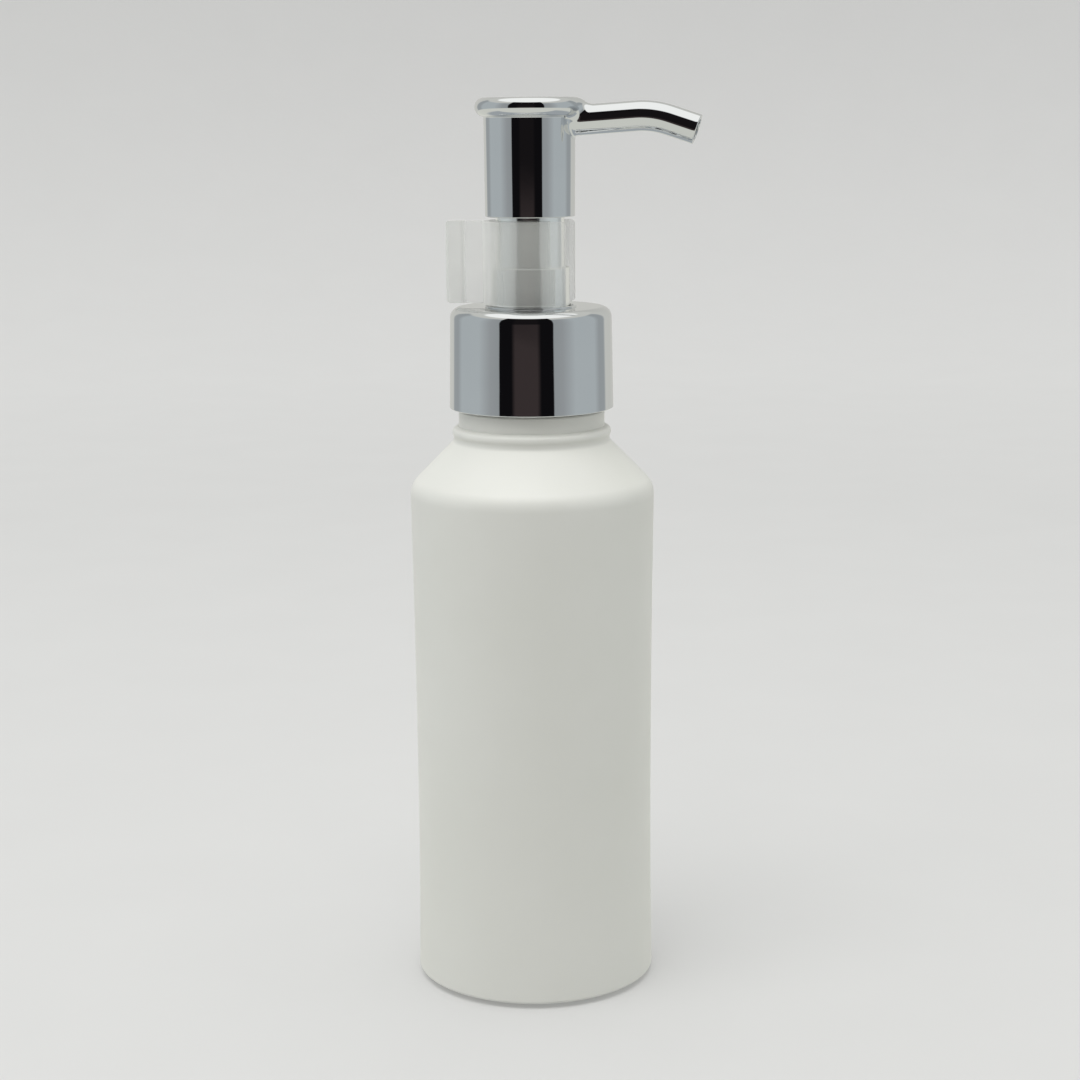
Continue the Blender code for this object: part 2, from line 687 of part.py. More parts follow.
def make_head_shell(parts, helpers, mat):
    """Plated shell: a flanged disc on a skirt that slides over the guide."""
    rim_r = FLANGE_R - FLANGE_ROUND
    rim_z = HEAD_TOP_Z - FLANGE_ROUND
    profile = [(0.0, HEAD_TOP_Z)] + arc(rim_r, rim_z, FLANGE_ROUND, 90, -78, 7)
    profile += [
        (HEAD_NECK_R + FLANGE_COVE_R, FLANGE_COVE_Z + FLANGE_COVE_H),
        (HEAD_NECK_R, FLANGE_COVE_Z),
        (HEAD_BOTTOM_R, HEAD_BOTTOM_Z),
        (HEAD_BORE_R, HEAD_BOTTOM_Z),
        (HEAD_BORE_R, HEAD_ROOF_Z),
        (0.0, HEAD_ROOF_Z),
    ]
    shell = lathe("head_shell", profile, parts)
    hole_r = SPOUT_R + SPOUT_HOLE_GAP
    hole_path = spout_path(start_x=SPOUT_ROOT_X - CUT_OVERRUN)[:2]
    hole = tube("spout_hole", hole_path, hole_r, helpers, 4)
    boolean(shell, hole, "DIFFERENCE")
    return finish(shell, mat)


def make_spout(parts, helpers, mat):
    """Plated bent nozzle, pressed into the side of the head, open at both ends."""
    path = spout_path()
    spout = tube("spout", path, SPOUT_R, parts, 4)
    bore_path = spout_path(SPOUT_TIP_X + CUT_OVERRUN, SPOUT_ROOT_X - CUT_OVERRUN)
    bore = tube("spout_bore", bore_path, SPOUT_BORE_R, helpers, 3)
    boolean(spout, bore, "DIFFERENCE")
    return finish(spout, mat)


# ---------------------------------------------------------------- lock clip


def clip_arm(offset):
    """Half of the clip's wall, offset from its middle line: tab side to the flared lip."""
    mid_r = CLIP_BORE_R + CLIP_WALL / 2
    points = []
    start = 180 if offset < 0 else 180 - degrees(CLIP_TAB_T / 2 / (mid_r + offset))
    for i in range(CLIP_ARM_STEPS + 1):
        a = radians(start + (CLIP_MOUTH - start) * i / CLIP_ARM_STEPS)
        points.append(((mid_r + offset) * cos(a), (mid_r + offset) * sin(a)))
    hinge_r = mid_r + CLIP_LIP_ROUND
    mouth = radians(CLIP_MOUTH)
    centre = (hinge_r * cos(mouth), hinge_r * sin(mouth))
    for i in range(1, CLIP_LIP_STEPS + 1):
        a = mouth + pi + radians(CLIP_LIP_TURN) * i / CLIP_LIP_STEPS
        radius = CLIP_LIP_ROUND - offset
        points.append((centre[0] + radius * cos(a), centre[1] + radius * sin(a)))
    return points


def clip_outline():
    """Closed outline of the clip, seen from above: tab, outer arms, lips, bore."""
    half = CLIP_WALL / 2
    bead_x = CLIP_TAB_X + CLIP_TAB_BEAD_R
    reach = degrees(asin(CLIP_TAB_T / 2 / CLIP_TAB_BEAD_R))
    bead = arc(bead_x, 0.0, CLIP_TAB_BEAD_R, 180, reach, 4)
    upper = bead + clip_arm(half) + list(reversed(clip_arm(-half)))
    lower = [(x, -y) for x, y in reversed(upper) if abs(y) > 0.0001]
    return upper + lower


def make_clip(parts, mat):
    """C-shaped clip that holds the head up until it is pulled off by its tab."""
    curve = bpy.data.curves.new("lock_clip", "CURVE")
    curve.dimensions = "2D"
    curve.fill_mode = "BOTH"
    curve.extrude = (CLIP_TOP_Z - CLIP_BOTTOM_Z) / 2 * MM
    spline = curve.splines.new("POLY")
    outline = clip_outline()
    spline.points.add(len(outline) - 1)
    for point, (x, y) in zip(spline.points, outline):
        point.co = (x * MM, y * MM, 0.0, 1.0)
    spline.use_cyclic_u = True
    source = link(bpy.data.objects.new("lock_clip_outline", curve), parts)
    source.location = (0.0, 0.0, (CLIP_TOP_Z + CLIP_BOTTOM_Z) / 2 * MM)
    return finish(curve_to_mesh(source, "lock_clip", parts), mat)


# ---------------------------------------------------------------- assembly


def add_axis(name, point, children, parent=None):
    """An empty on a joint's axis, with the pieces that move on it as its children."""
    empty = bpy.data.objects.new(name, None)
    empty.empty_display_size = 0.01
    empty.location = Vector(point) * MM
    bpy.context.scene.collection.objects.link(empty)
    bpy.context.view_layer.update()
    for child in children + ([empty] if parent else []):
        holder = parent if child is empty else empty
        child.parent = holder
        child.matrix_parent_inverse = holder.matrix_world.inverted()
    bpy.context.view_layer.update()
    return empty


def build():
    clear_scene()
    parts = new_collection("pump_oil_bottle")
    helpers = new_collection("cutters")

    hdpe = material("white_bottle", (0.72, 0.73, 0.70), 0.45)
    white = material("white_moulding", (0.75, 0.76, 0.74), 0.25)
    natural = material("natural_moulding", (0.80, 0.80, 0.78), 0.35)
    plated = material("silver_plating", (0.62, 0.65, 0.66), 0.06, 1.0)
    steel = material("spring_steel", (0.50, 0.50, 0.49), 0.25, 1.0)
    glass = material("ball_glass", (0.70, 0.76, 0.74), 0.05)
    foam = material("gasket_foam", (0.82, 0.82, 0.80), 0.8)
    milky = material("milky_clip", (0.85, 0.87, 0.86), 0.15, 0.0, 0.5)

    make_bottle(parts, helpers, hdpe)
    housing = make_housing(parts, natural)
    gasket = make_gasket(parts, foam)
    guide = make_guide(parts, plated)
    dip_tube = make_dip_tube(parts, helpers, natural)
    spring = make_spring(parts, steel)
    closure = make_closure(parts, helpers, white)
    shell = make_collar_shell(parts, plated)
    stem = make_stem(parts, white)
    rod = make_rod(parts, white)
    piston = make_piston(parts, natural)
    ball = make_ball(parts, glass)
    core = make_core(parts, helpers, plated)
    head_shell = make_head_shell(parts, helpers, plated)
    spout = make_spout(parts, helpers, plated)
    clip = make_clip(parts, milky)

    lift = add_axis(
        "closure_rise_axis", (0, 0, LAND_Z), [housing, gasket, guide, dip_tube, spring]
    )
    add_axis("closure_spin_axis", (0, 0, LAND_Z), [closure, shell], lift)
    press = add_axis("head_press_axis", (0, 0, STEM_BOTTOM_Z), [stem, rod], lift)
    add_axis("head_swivel_axis", (0, 0, STEM_TOP_Z), [core, head_shell, spout], press)
    add_axis("piston_slip_axis", (0, 0, PISTON_BOTTOM_Z), [piston], press)
    add_axis("ball_lift_axis", (0, 0, BALL_Z), [ball], lift)
    add_axis("clip_pull_axis", (0, 0, CLIP_BOTTOM_Z), [clip], lift)


build()
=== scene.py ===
"""Pump oil bottle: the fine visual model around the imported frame.

Every piece is rebuilt with rounded edges and a procedural material, stands for its CAD node
and rides on that node's body. The bottle stands on the XY plane and the spout points to +X.
Dimensions are in millimetres and are turned into metres by MM.
"""

from math import asin, atan2, cos, degrees, hypot, pi, radians, sin, tan

import bmesh
import bpy
from mathutils import Matrix, Vector


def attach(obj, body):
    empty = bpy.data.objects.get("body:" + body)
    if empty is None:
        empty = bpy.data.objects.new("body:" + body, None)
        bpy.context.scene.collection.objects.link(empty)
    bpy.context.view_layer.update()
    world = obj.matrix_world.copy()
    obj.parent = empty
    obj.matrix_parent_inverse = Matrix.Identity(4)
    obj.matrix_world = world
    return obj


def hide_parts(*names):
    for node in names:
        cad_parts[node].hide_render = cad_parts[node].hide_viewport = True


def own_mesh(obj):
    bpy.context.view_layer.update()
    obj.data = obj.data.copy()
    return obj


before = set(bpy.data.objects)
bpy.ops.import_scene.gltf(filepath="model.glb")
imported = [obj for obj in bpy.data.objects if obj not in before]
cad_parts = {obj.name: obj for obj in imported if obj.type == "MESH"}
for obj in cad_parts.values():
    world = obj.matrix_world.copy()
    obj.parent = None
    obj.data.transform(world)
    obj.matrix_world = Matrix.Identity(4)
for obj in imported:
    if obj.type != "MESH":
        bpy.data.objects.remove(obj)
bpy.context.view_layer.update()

MM = 0.001
SEGMENTS = 160  # faces round an outer piece
INNER_SEGMENTS = 96  # faces round an inner piece
CORNER_STEPS = 5
SUPPORT = 0.08  # strip beside a rounding, which keeps flat faces flat when shaded
STRAIGHT = radians(172)  # a corner as open as this isn't rounded
SMOOTH_LIMIT = radians(40)
GAP = 0.3  # clearance between the guide and the holes round it
ON_AXIS = 0.0001  # a point that is closer to an axis than this lies on it

# ---- bottle ----
BODY_TOP_R = 21.25
BODY_WAIST_R = 20.8
BODY_FOOT_R = 21.1
WAIST_Z = 32.0
SHOULDER_ROUND = 4.0
SHOULDER_ANGLE = 45.5
CONE_TOP_R = 13.55
CONE_TOP_Z = 96.8
FOOT_LIFT = 1.1  # the side ends this high, over a smaller standing ring
FOOT_RING_R = 18.7
WALL = 1.1
INNER_FOOT_ROUND = 1.5
BEAD_R = 13.8
BEAD_TOP_Z = 99.3
BEAD_ROUND = 0.9
BEAD_DROP = 1.0
NECK_RING_R = 12.65
NECK_RING_TOP_Z = 102.2
THREAD_WALL_R = 10.95
NECK_BORE_R = 9.0
NECK_BORE_FLARE = 1.5  # height over which the bore opens into the shoulder
LAND_Z = 114.9  # sealing face at the top of the neck

# ---- screw thread ----
THREAD_PITCH = 3.175
THREAD_RIDGE = 0.75  # radius of the rounded ridge
THREAD_FADE = 7  # points over which a ridge's end tapers
THREAD_TIP = 0.2  # share of the ridge's radius that is left at its end
MALE_RIDGE_R = 11.15  # path radius of the bottle's ridge
FEMALE_RIDGE_R = 12.0  # path radius of the closure's ridge
MALE_START_Z = 106.6
MALE_TURNS = 1.5
FEMALE_TURNS = 1.25

# ---- closure, its plated shell and the guide ----
CLOSURE_BOTTOM_Z = 102.9
CLOSURE_BOTTOM_R = 13.3
CLOSURE_TOP_R = 13.0
CLOSURE_ROUND = 1.6
CLOSURE_BORE_R = 12.3
CLOSURE_ROOF_Z = 118.1
CLOSURE_TOP_Z = 119.1
SHELL_BOTTOM_Z = 102.5
SHELL_TOP_Z = 119.9
SHELL_BOTTOM_R = 14.2
SHELL_TOP_R = 13.9
SHELL_WALL = 0.55
SHELL_ROUND = 1.8
PRESSED_EDGE = 0.14  # rounding of the plated shells' lower rims
LIP_R = 7.9  # raised lip round the shell's hole
LIP_H = 0.25
GUIDE_R = 6.7
GUIDE_BORE_R = 6.1
GUIDE_TOP_Z = 126.7
GUIDE_BOTTOM_Z = 108.3
GUIDE_FLOOR_T = 1.1
GUIDE_FLANGE_R = 9.8
GUIDE_FLANGE_Z = 117.2
GUIDE_FLANGE_T = 0.7
HOLE_R = GUIDE_R + GAP
STEM_HOLE_R = 2.5

# ---- pump housing and gasket ----
GASKET_IN_R = 8.1
GASKET_OUT_R = 11.2
GASKET_Z = 115.1
GASKET_T = 0.9
HOUSING_FLANGE_R = 10.8
HOUSING_FLANGE_Z = 116.2
HOUSING_FLANGE_T = 0.8
CUP_R = 7.8
CUP_BORE_R = 7.0
CUP_FLOOR_Z = 107.6
CUP_FLOOR_T = 1.0
BARREL_R = 4.5
BARREL_BORE_R = 3.45
LEDGE_Z = 81.0  # the spring stands here
LEDGE_TAPER = 1.8  # height over which the barrel narrows under the ledge
BALL_LIP_R = 1.35
BALL_CHAMBER_R = 1.85
BALL_CHAMBER_TOP_Z = 79.9
BALL_CHAMBER_TAPER = 0.5
BALL_SEAT_TOP_Z = 77.2
BALL_SEAT_BOTTOM_Z = 76.2
INLET_R = 1.0
SOCKET_R = 3.1
SOCKET_BORE_R = 2.1
SOCKET_TOP_Z = 74.9
SOCKET_BOTTOM_Z = 66.0

# ---- ball, piston, rod, stem, dip tube ----
BALL_R = 1.5
BALL_Z = 77.6
PISTON_BOTTOM_Z = 102.4
PISTON_TOP_Z = 106.2
PISTON_TIP_R = 3.1  # edge of a sealing lip, whose widest place lies a little further in
PISTON_LIP_R = 3.3
PISTON_LIP_H = 0.2
PISTON_WAIST_R = 2.85
PISTON_WAIST_LOW = 103.8
PISTON_WAIST_HIGH = 104.8
PISTON_BORE_R = 1.6
PISTON_CUP_R = 2.7  # edge of the hollow in its top
PISTON_CUP_DEPTH = 0.4
PISTON_SEAT_R = 2.6  # edge of the seat for the rod's cone
PISTON_SEAT_H = 0.85
ROD_TOP_Z = 112.0
ROD_SHANK_R = 1.2
ROD_CONE_TOP_Z = 102.75
ROD_CONE_R = 2.3
ROD_CONE_BOTTOM_Z = 101.8
ROD_FLANGE_R = 3.0
ROD_FLANGE_TOP_Z = 101.6
ROD_FLANGE_Z = 100.9
ROD_SPIGOT_R = 1.9
ROD_SPIGOT_Z = 98.9
STEM_R = 2.2
STEM_BORE_R = 1.35
STEM_BOTTOM_Z = 107.0
STEM_SHOULDER_R = 3.15
STEM_SHOULDER_H = 1.1
STEM_TOP_Z = 141.0
DIP_TUBE_R = 1.8
DIP_TUBE_BORE_R = 1.25
DIP_TUBE_TOP_Z = 74.6
DIP_TUBE_BOTTOM_Z = 3.0
DIP_TUBE_CUT = 40.0  # slope of the cut at its foot, in degrees

# ---- head: core, plated shell, spout ----
CORE_SLEEVE_R = 5.9
CORE_SLEEVE_T = 0.8
CORE_BOTTOM_Z = 123.4
CORE_BOSS_R = 3.4
CORE_BOSS_BOTTOM_Z = 128.0
CORE_SOCKET_R = 2.45
CORE_SOCKET_GAP = 0.2  # over the stem's end
CORE_WEB_Z = 142.0
CORE_BLOCK_R = 6.7
CORE_BLOCK_Z = 144.2
CORE_TOP_Z = 153.3
CHANNEL_R = 1.35
PORT_DROP = 0.4  # how far the core's side port lies under the spout's root
HEAD_TOP_Z = 155.2
HEAD_BOTTOM_Z = 135.25
HEAD_BOTTOM_R = 7.68
HEAD_NECK_R = 7.8
HEAD_BORE_R = 7.1
HEAD_ROOF_Z = 153.6
FLANGE_R = 9.3
FLANGE_ROUND = 1.6
RIM_R = FLANGE_R - FLANGE_ROUND  # middle of the flange's rounding
RIM_Z = HEAD_TOP_Z - FLANGE_ROUND
COVE_Z = 151.95  # inner corner under the flange
COVE_ROUND = 0.3
COVE_BLEND = 0.35  # softness of that corner where the fairing meets it
SKIRT_TOP_Z = 151.4
SPOUT_R = 2.55
SPOUT_BORE_R = 1.85
SPOUT_ROOT_X = 6.95
SPOUT_ROOT_Z = 151.17
SPOUT_RISE = 3.9
SPOUT_DROOP = 18.4
SPOUT_STRAIGHT_X = 18.3
SPOUT_BEND_R = 14.5
SPOUT_TIP_X = 28.6
SPOUT_EDGE = 0.14
SPOUT_INSET = 0.3  # where its hidden root starts
FAIRING = 2.0  # reach of the smooth joint between head and spout, above the spout
FAIRING_SIDE = 0.65  # share of that reach beside the spout
FAIRING_TOP_Z = HEAD_TOP_Z - 0.35

# ---- lock clip ----
CLIP_BOTTOM_Z = 120.4
CLIP_TOP_Z = 134.55
CLIP_BORE_R = 6.9
CLIP_WALL = 1.25
CLIP_MOUTH = 46.0  # half angle of its opening, in degrees
CLIP_LIP_ROUND = 1.3
CLIP_LIP_TURN = 70.0
CLIP_TAB_X = -14.8
CLIP_TAB_T = 1.1
CLIP_TAB_BEAD_R = 0.8
CLIP_GRIP = 1.8  # flat length of the thicker grip at the tab's end
CLIP_CORNER = 0.9
CLIP_EDGE = 0.14

# ---- spring ----
SPRING_LOW = 81.15
SPRING_HIGH = 100.75
SPRING_R = 2.75  # to the middle of the wire
SPRING_WIRE_R = 0.3
SPRING_TURNS = 9
SPRING_POINTS = 48  # path points in a turn

# ---- studio ----
# painted glow: the floor and wall paper emit light of their own, which lifts their shade, more
# towards the wall
FLOOR_GLOW = 0.20
WALL_GLOW = 0.305
GLOW_START = 0.5  # distances from the middle, in metres, between which the paper brightens
GLOW_END = 1.3
FLOOR_R = 700.0
WALL_R = 1320.0
WALL_CURVE = 420.0
WALL_TOP = 620.0
LAMP_SIZE = 1.1  # the lamp's size and places are in metres
LAMP_POWER = 7.2
LAMP_PLACE = (-0.15, -0.53, 1.09)
LAMP_AIM = (0.0, 0.0, 0.08)

# ---- camera, in millimetres and degrees ----
CAMERA_AZIMUTH = 10.5
CAMERA_DISTANCE = 378.0
CAMERA_HEIGHT = 153.0
CAMERA_PITCH = 11.1
CAMERA_ROLL = 0.42
CAMERA_YAW = 0.196
CAMERA_LENS = 73.0

# ---- room: colours seen in the plating, and soft light on everything else ----
DOOR_AZIMUTH = 3.5
DOOR_EDGE = (0.211, 0.218)  # where the doorway ends, as shares of a half turn
DOOR_MIDDLE = (0.085, 0.115)  # where its brown middle ends
DOOR_DEPTH = (0.35, 0.75)  # tenths under the horizon, between which that middle appears
CEILING_EDGE = (0.895, 0.91)  # heights run from 0, straight down, to 1, straight up
UPPER_EDGE = (0.80, 0.83)
GROUND_EDGE = (0.380, 0.395)
STEEP_EDGE = (0.17, 0.22)
FRONT_EDGE = (0.60, 0.64)
DOOR_BLACK = (0.006, 0.0055, 0.0065)
DOOR_BROWN = (0.050, 0.038, 0.038)
UPPER_WALL = (0.72, 0.72, 0.68)
CEILING = (1.22, 1.22, 1.19)
GROUND = (0.78, 0.785, 0.72)
GROUND_BEHIND = (0.44, 0.47, 0.49)
WALL_STOPS = [
    (0.215, (0.36, 0.38, 0.39)),
    (0.29, (0.39, 0.41, 0.42)),
    (0.40, (0.52, 0.56, 0.575)),
    (0.60, (0.52, 0.56, 0.575)),
    (0.66, (0.40, 0.425, 0.435)),
    (0.73, (0.40, 0.425, 0.435)),
    (0.76, (0.70, 0.70, 0.66)),
    (1.0, (0.58, 0.58, 0.55)),
]
SOFT_EDGE = (0.20, 0.25)
SOFT_DOOR = (0.10, 0.10, 0.10)
SOFT_SIDES = (0.68, 0.69, 0.685)
SOFT_CEILING = (1.45, 1.45, 1.44)
SOFT_LEFT = (1.05, 1.05, 1.06)
SOFT_RIGHT = (0.92, 0.92, 0.90)
BLACK = (0.0, 0.0, 0.0)
WHITE = (1.0, 1.0, 1.0)


# ======== shapes


def arc(center_r, center_z, radius, start, end, steps):
    points = []
    for i in range(steps + 1):
        a = radians(start + (end - start) * i / steps)
        points.append((center_r + radius * cos(a), center_z + radius * sin(a)))
    return points


def rounded(profile, size, closed=True):
    """The profile with an arc at each corner; a point's third number is its own radius."""
    result = []
    for i, point in enumerate(profile):
        here = Vector(point[:2])
        radius = point[2] if len(point) > 2 else size
        before = Vector(profile[i - 1][:2]) - here
        after = Vector(profile[(i + 1) % len(profile)][:2]) - here
        on_end = not closed and i in (0, len(profile) - 1)
        if on_end or radius == 0 or before.angle(after) > STRAIGHT:
            result.append(tuple(here))
            continue
        half = before.angle(after) / 2
        reach = min(radius / tan(half), 0.45 * before.length, 0.45 * after.length)
        start = here + before.normalized() * reach
        end = here + after.normalized() * reach
        middle = (before.normalized() + after.normalized()).normalized()
        centre = here + middle * reach / cos(half)
        spare = min(SUPPORT, 0.04 * before.length, 0.04 * after.length)
        result.append(tuple(start + before.normalized() * spare))
        first = atan2(*(start - centre).yx)
        turn = (atan2(*(end - centre).yx) - first + pi) % (2 * pi) - pi
        size_here = reach * tan(half)
        for k in range(CORNER_STEPS + 1):
            a = first + turn * k / CORNER_STEPS
            result.append((centre.x + size_here * cos(a), centre.y + size_here * sin(a)))
        result.append(tuple(end + after.normalized() * spare))
    return result


def new_mesh(name, vertices, faces):
    mesh = bpy.data.meshes.new(name)
    mesh.from_pydata([Vector(v) * MM for v in vertices], [], faces)
    obj = bpy.data.objects.new(name, mesh)
    bpy.context.scene.collection.objects.link(obj)
    return obj


def tidy_mesh(obj):
    """Weld, face outwards and shade smooth with sharp edges kept."""
    work = bmesh.new()
    work.from_mesh(obj.data)
    bmesh.ops.remove_doubles(work, verts=work.verts, dist=0.0000005)
    bmesh.ops.recalc_face_normals(work, faces=work.faces)
    work.to_mesh(obj.data)
    work.free()
    obj.data.shade_smooth()
    obj.data.set_sharp_from_angle(angle=SMOOTH_LIMIT)
    return obj


def grid_faces(rows, columns, closed):
    """Quads of a grid of rows round a ring of columns; closed joins the last row to the first."""
    faces = []
    for i in range(rows if closed else rows - 1):
        below = (i + 1) % rows
        for j in range(columns):
            k = (j + 1) % columns
            faces.append(
                (i * columns + j, below * columns + j, below * columns + k, i * columns + k)
            )
    return faces


def fan_faces(first, count, tip):
    """Triangles between a ring of count points and a point at its middle."""
    return [(first + j, first + (j + 1) % count, tip) for j in range(count)]


def turned(profile, segments):
    """The profile's points turned about Z, a ring for each."""
    vertices = []
    for r, z in profile:
        for j in range(segments):
            a = 2 * pi * j / segments
            vertices.append((r * cos(a), r * sin(a), z))
    return vertices


def lathe(name, profile, segments=SEGMENTS):
    """Turn a profile about Z. One that starts or ends on the axis is capped there."""
    ring = [p for p in profile if p[0] > ON_AXIS]
    vertices = turned(ring, segments)
    faces = grid_faces(len(ring), segments, len(ring) == len(profile))
    for end, point in ((0, profile[0]), (len(ring) - 1, profile[-1])):
        if point[0] <= ON_AXIS:
            faces += fan_faces(end * segments, segments, len(vertices))
            vertices.append((0.0, 0.0, point[1]))
    return tidy_mesh(new_mesh(name, vertices, faces))


def sweep(name, points, radii, sides=24):
    """A closed rod along points, with one radius for each."""
    path = [Vector(p) for p in points]
    rows = []
    normal = Vector((0.0, 0.0, 1.0))
    for i, point in enumerate(path):
        ahead = path[min(i + 1, len(path) - 1)] - path[max(i - 1, 0)]
        ahead.normalize()
        normal = (normal - ahead * normal.dot(ahead)).normalized()
        side = ahead.cross(normal)
        ring = []
        for j in range(sides):
            a = 2 * pi * j / sides
            ring.append(point + (normal * cos(a) + side * sin(a)) * radii[i])
        rows.append(ring)
    vertices = [v for ring in rows for v in ring]
    faces = grid_faces(len(rows), sides, False)
    for end in (0, len(path) - 1):
        faces += fan_faces(end * sides, sides, len(vertices))
        vertices.append(path[end])
    return tidy_mesh(new_mesh(name, vertices, faces))


def prism(name, first, second):
    """A solid between two outlines with the same number of points."""
    count = len(first)
    faces = [tuple(range(count)), tuple(range(2 * count - 1, count - 1, -1))]
    for i in range(count):
        k = (i + 1) % count
        faces.append((i, k, count + k, count + i))
    return tidy_mesh(new_mesh(name, first + second, faces))


def boolean(obj, other, operation):
    """Apply one exact Boolean and remove the other object."""
    modifier = obj.modifiers.new("cut", "BOOLEAN")
    modifier.operation = operation
    modifier.solver = "EXACT"
    modifier.object = other
    bpy.context.view_layer.update()
    depsgraph = bpy.context.evaluated_depsgraph_get()
    mesh = bpy.data.meshes.new_from_object(obj.evaluated_get(depsgraph))
    obj.modifiers.clear()
    obj.data = mesh
    bpy.data.objects.remove(other, do_unlink=True)
    return tidy_mesh(obj)


def helix(radius, start_z, turns, pitch, per_turn=48):
    points = []
    for i in range(round(turns * per_turn) + 1):
        a = 2 * pi * i / per_turn
        points.append((radius * cos(a), radius * sin(a), start_z + pitch * i / per_turn))
    return points


def thread_ridge(name, radius, start_z, turns):
    """A rounded thread ridge whose two ends taper away."""
    points = helix(radius, start_z, turns, THREAD_PITCH)
    last = len(points) - 1
    radii = []
    for i in range(len(points)):
        share = min(i, last - i, THREAD_FADE) / THREAD_FADE
        radii.append(THREAD_RIDGE * (THREAD_TIP + (1 - THREAD_TIP) * sin(share * pi / 2)))
    return sweep(name, points, radii, 20)


# ======== bottle


def body_radius(z):
    """The body's outer radius: widest at the shoulder, pulled in at the waist."""
    if z > WAIST_Z:
        share = (z - WAIST_Z) / (shoulder_foot_z() - WAIST_Z)
        return BODY_WAIST_R + (BODY_TOP_R - BODY_WAIST_R) * share**2
    share = (WAIST_Z - z) / WAIST_Z
    return BODY_WAIST_R + (BODY_FOOT_R - BODY_WAIST_R) * share**2


def shoulder_foot_z():
    """Height at which the shoulder's rounding ends on the body."""
    corner = CONE_TOP_Z - (BODY_TOP_R - CONE_TOP_R) * tan(radians(SHOULDER_ANGLE))
    return corner - SHOULDER_ROUND * tan(radians(90 - SHOULDER_ANGLE) / 2)


def bottle_profile():
    """From the base's middle up the inside, over the neck and down the outside."""
    neck = rounded(
        [
            (NECK_BORE_R, LAND_Z, 0.25),
            (THREAD_WALL_R, LAND_Z, 0.35),
            (THREAD_WALL_R, NECK_RING_TOP_Z, 0.5),
            (NECK_RING_R, NECK_RING_TOP_Z, 0.4),
            (NECK_RING_R, BEAD_TOP_Z, 0.35),
            (BEAD_R - BEAD_ROUND, BEAD_TOP_Z, 0),
        ],
        0.3,
        closed=False,
    )
    bead = arc(BEAD_R - BEAD_ROUND, BEAD_TOP_Z - BEAD_DROP, BEAD_ROUND, 84, -44, 14)
    cone = rounded([bead[-1], (CONE_TOP_R, CONE_TOP_Z, 0.9), cone_point(0.35)], 0.9, False)[1:]
    centre_r = BODY_TOP_R - SHOULDER_ROUND
    shoulder = arc(centre_r, shoulder_foot_z(), SHOULDER_ROUND, 90 - SHOULDER_ANGLE, 0, 16)
    low, high = 2.0 * FOOT_LIFT, shoulder_foot_z()
    side = [(body_radius(z), z) for z in (high + (low - high) * i / 40 for i in range(1, 40))]
    foot = rounded(
        [
            (body_radius(low), low),
            (BODY_FOOT_R, FOOT_LIFT, 0.5),
            (FOOT_RING_R, 0.0, 1.2),
            (FOOT_RING_R - 3.0, 0.0),
        ],
        0.5,
        closed=False,
    )
    corner_r = body_radius(0) - WALL - INNER_FOOT_ROUND
    floor = arc(corner_r, WALL + INNER_FOOT_ROUND, INNER_FOOT_ROUND, -90, 0, 6)
    wall = [(body_radius(z) - WALL, z) for z in (WAIST_Z, 45.0, 60.0, 75.0)]
    turn = arc(centre_r, high, SHOULDER_ROUND - WALL, 0, 90 - SHOULDER_ANGLE, 8)
    throat = CONE_TOP_Z + (CONE_TOP_R - NECK_BORE_R) - WALL / cos(radians(SHOULDER_ANGLE))
    inside = [(0.0, WALL)] + floor + wall + turn + [(NECK_BORE_R, throat - NECK_BORE_FLARE)]
    return inside + neck + bead[1:] + cone + shoulder + side + foot + [(0.0, 0.0)]


def cone_point(share):
    """A point on the shoulder's cone, share of the way down."""
    r = CONE_TOP_R + (BODY_TOP_R - CONE_TOP_R) * share
    return (r, CONE_TOP_Z - (r - CONE_TOP_R) * tan(radians(SHOULDER_ANGLE)))


def make_bottle():
    bottle = lathe("bottle_body", bottle_profile(), 192)
    ridge = thread_ridge("ridge", MALE_RIDGE_R, MALE_START_Z, MALE_TURNS)
    return boolean(bottle, ridge, "UNION")


# ======== closure


def make_closure():
    """Threaded inner cap, with a hole for the guide in its top."""
    profile = [
        (HOLE_R, CLOSURE_TOP_Z),
        (CLOSURE_TOP_R, CLOSURE_TOP_Z, CLOSURE_ROUND),
        (CLOSURE_BOTTOM_R, CLOSURE_BOTTOM_Z),
        (CLOSURE_BORE_R, CLOSURE_BOTTOM_Z, 0.3),
        (CLOSURE_BORE_R, CLOSURE_ROOF_Z, 0.4),
        (HOLE_R, CLOSURE_ROOF_Z),
    ]
    closure = lathe("inner_closure", rounded(profile, 0.2))
    start_z = MALE_START_Z - THREAD_PITCH / 2
    ridge = thread_ridge("ridge", FEMALE_RIDGE_R, start_z, FEMALE_TURNS)
    return boolean(closure, ridge, "UNION")


def make_collar():
    """Thin plated shell over the closure, with a raised lip round its hole."""
    lip_z = SHELL_TOP_Z + LIP_H
    inner_round = SHELL_ROUND - SHELL_WALL
    profile = [
        (HOLE_R, lip_z),
        (LIP_R, lip_z),
        (LIP_R, SHELL_TOP_Z, 0.1),
        (SHELL_TOP_R, SHELL_TOP_Z, SHELL_ROUND),
        (SHELL_BOTTOM_R, SHELL_BOTTOM_Z, PRESSED_EDGE),
        (SHELL_BOTTOM_R - SHELL_WALL, SHELL_BOTTOM_Z),
        (SHELL_TOP_R - SHELL_WALL, SHELL_TOP_Z - SHELL_WALL, inner_round),
        (HOLE_R, SHELL_TOP_Z - SHELL_WALL, 0.1),
    ]
    return lathe("collar", rounded(profile, 0.2), 192)


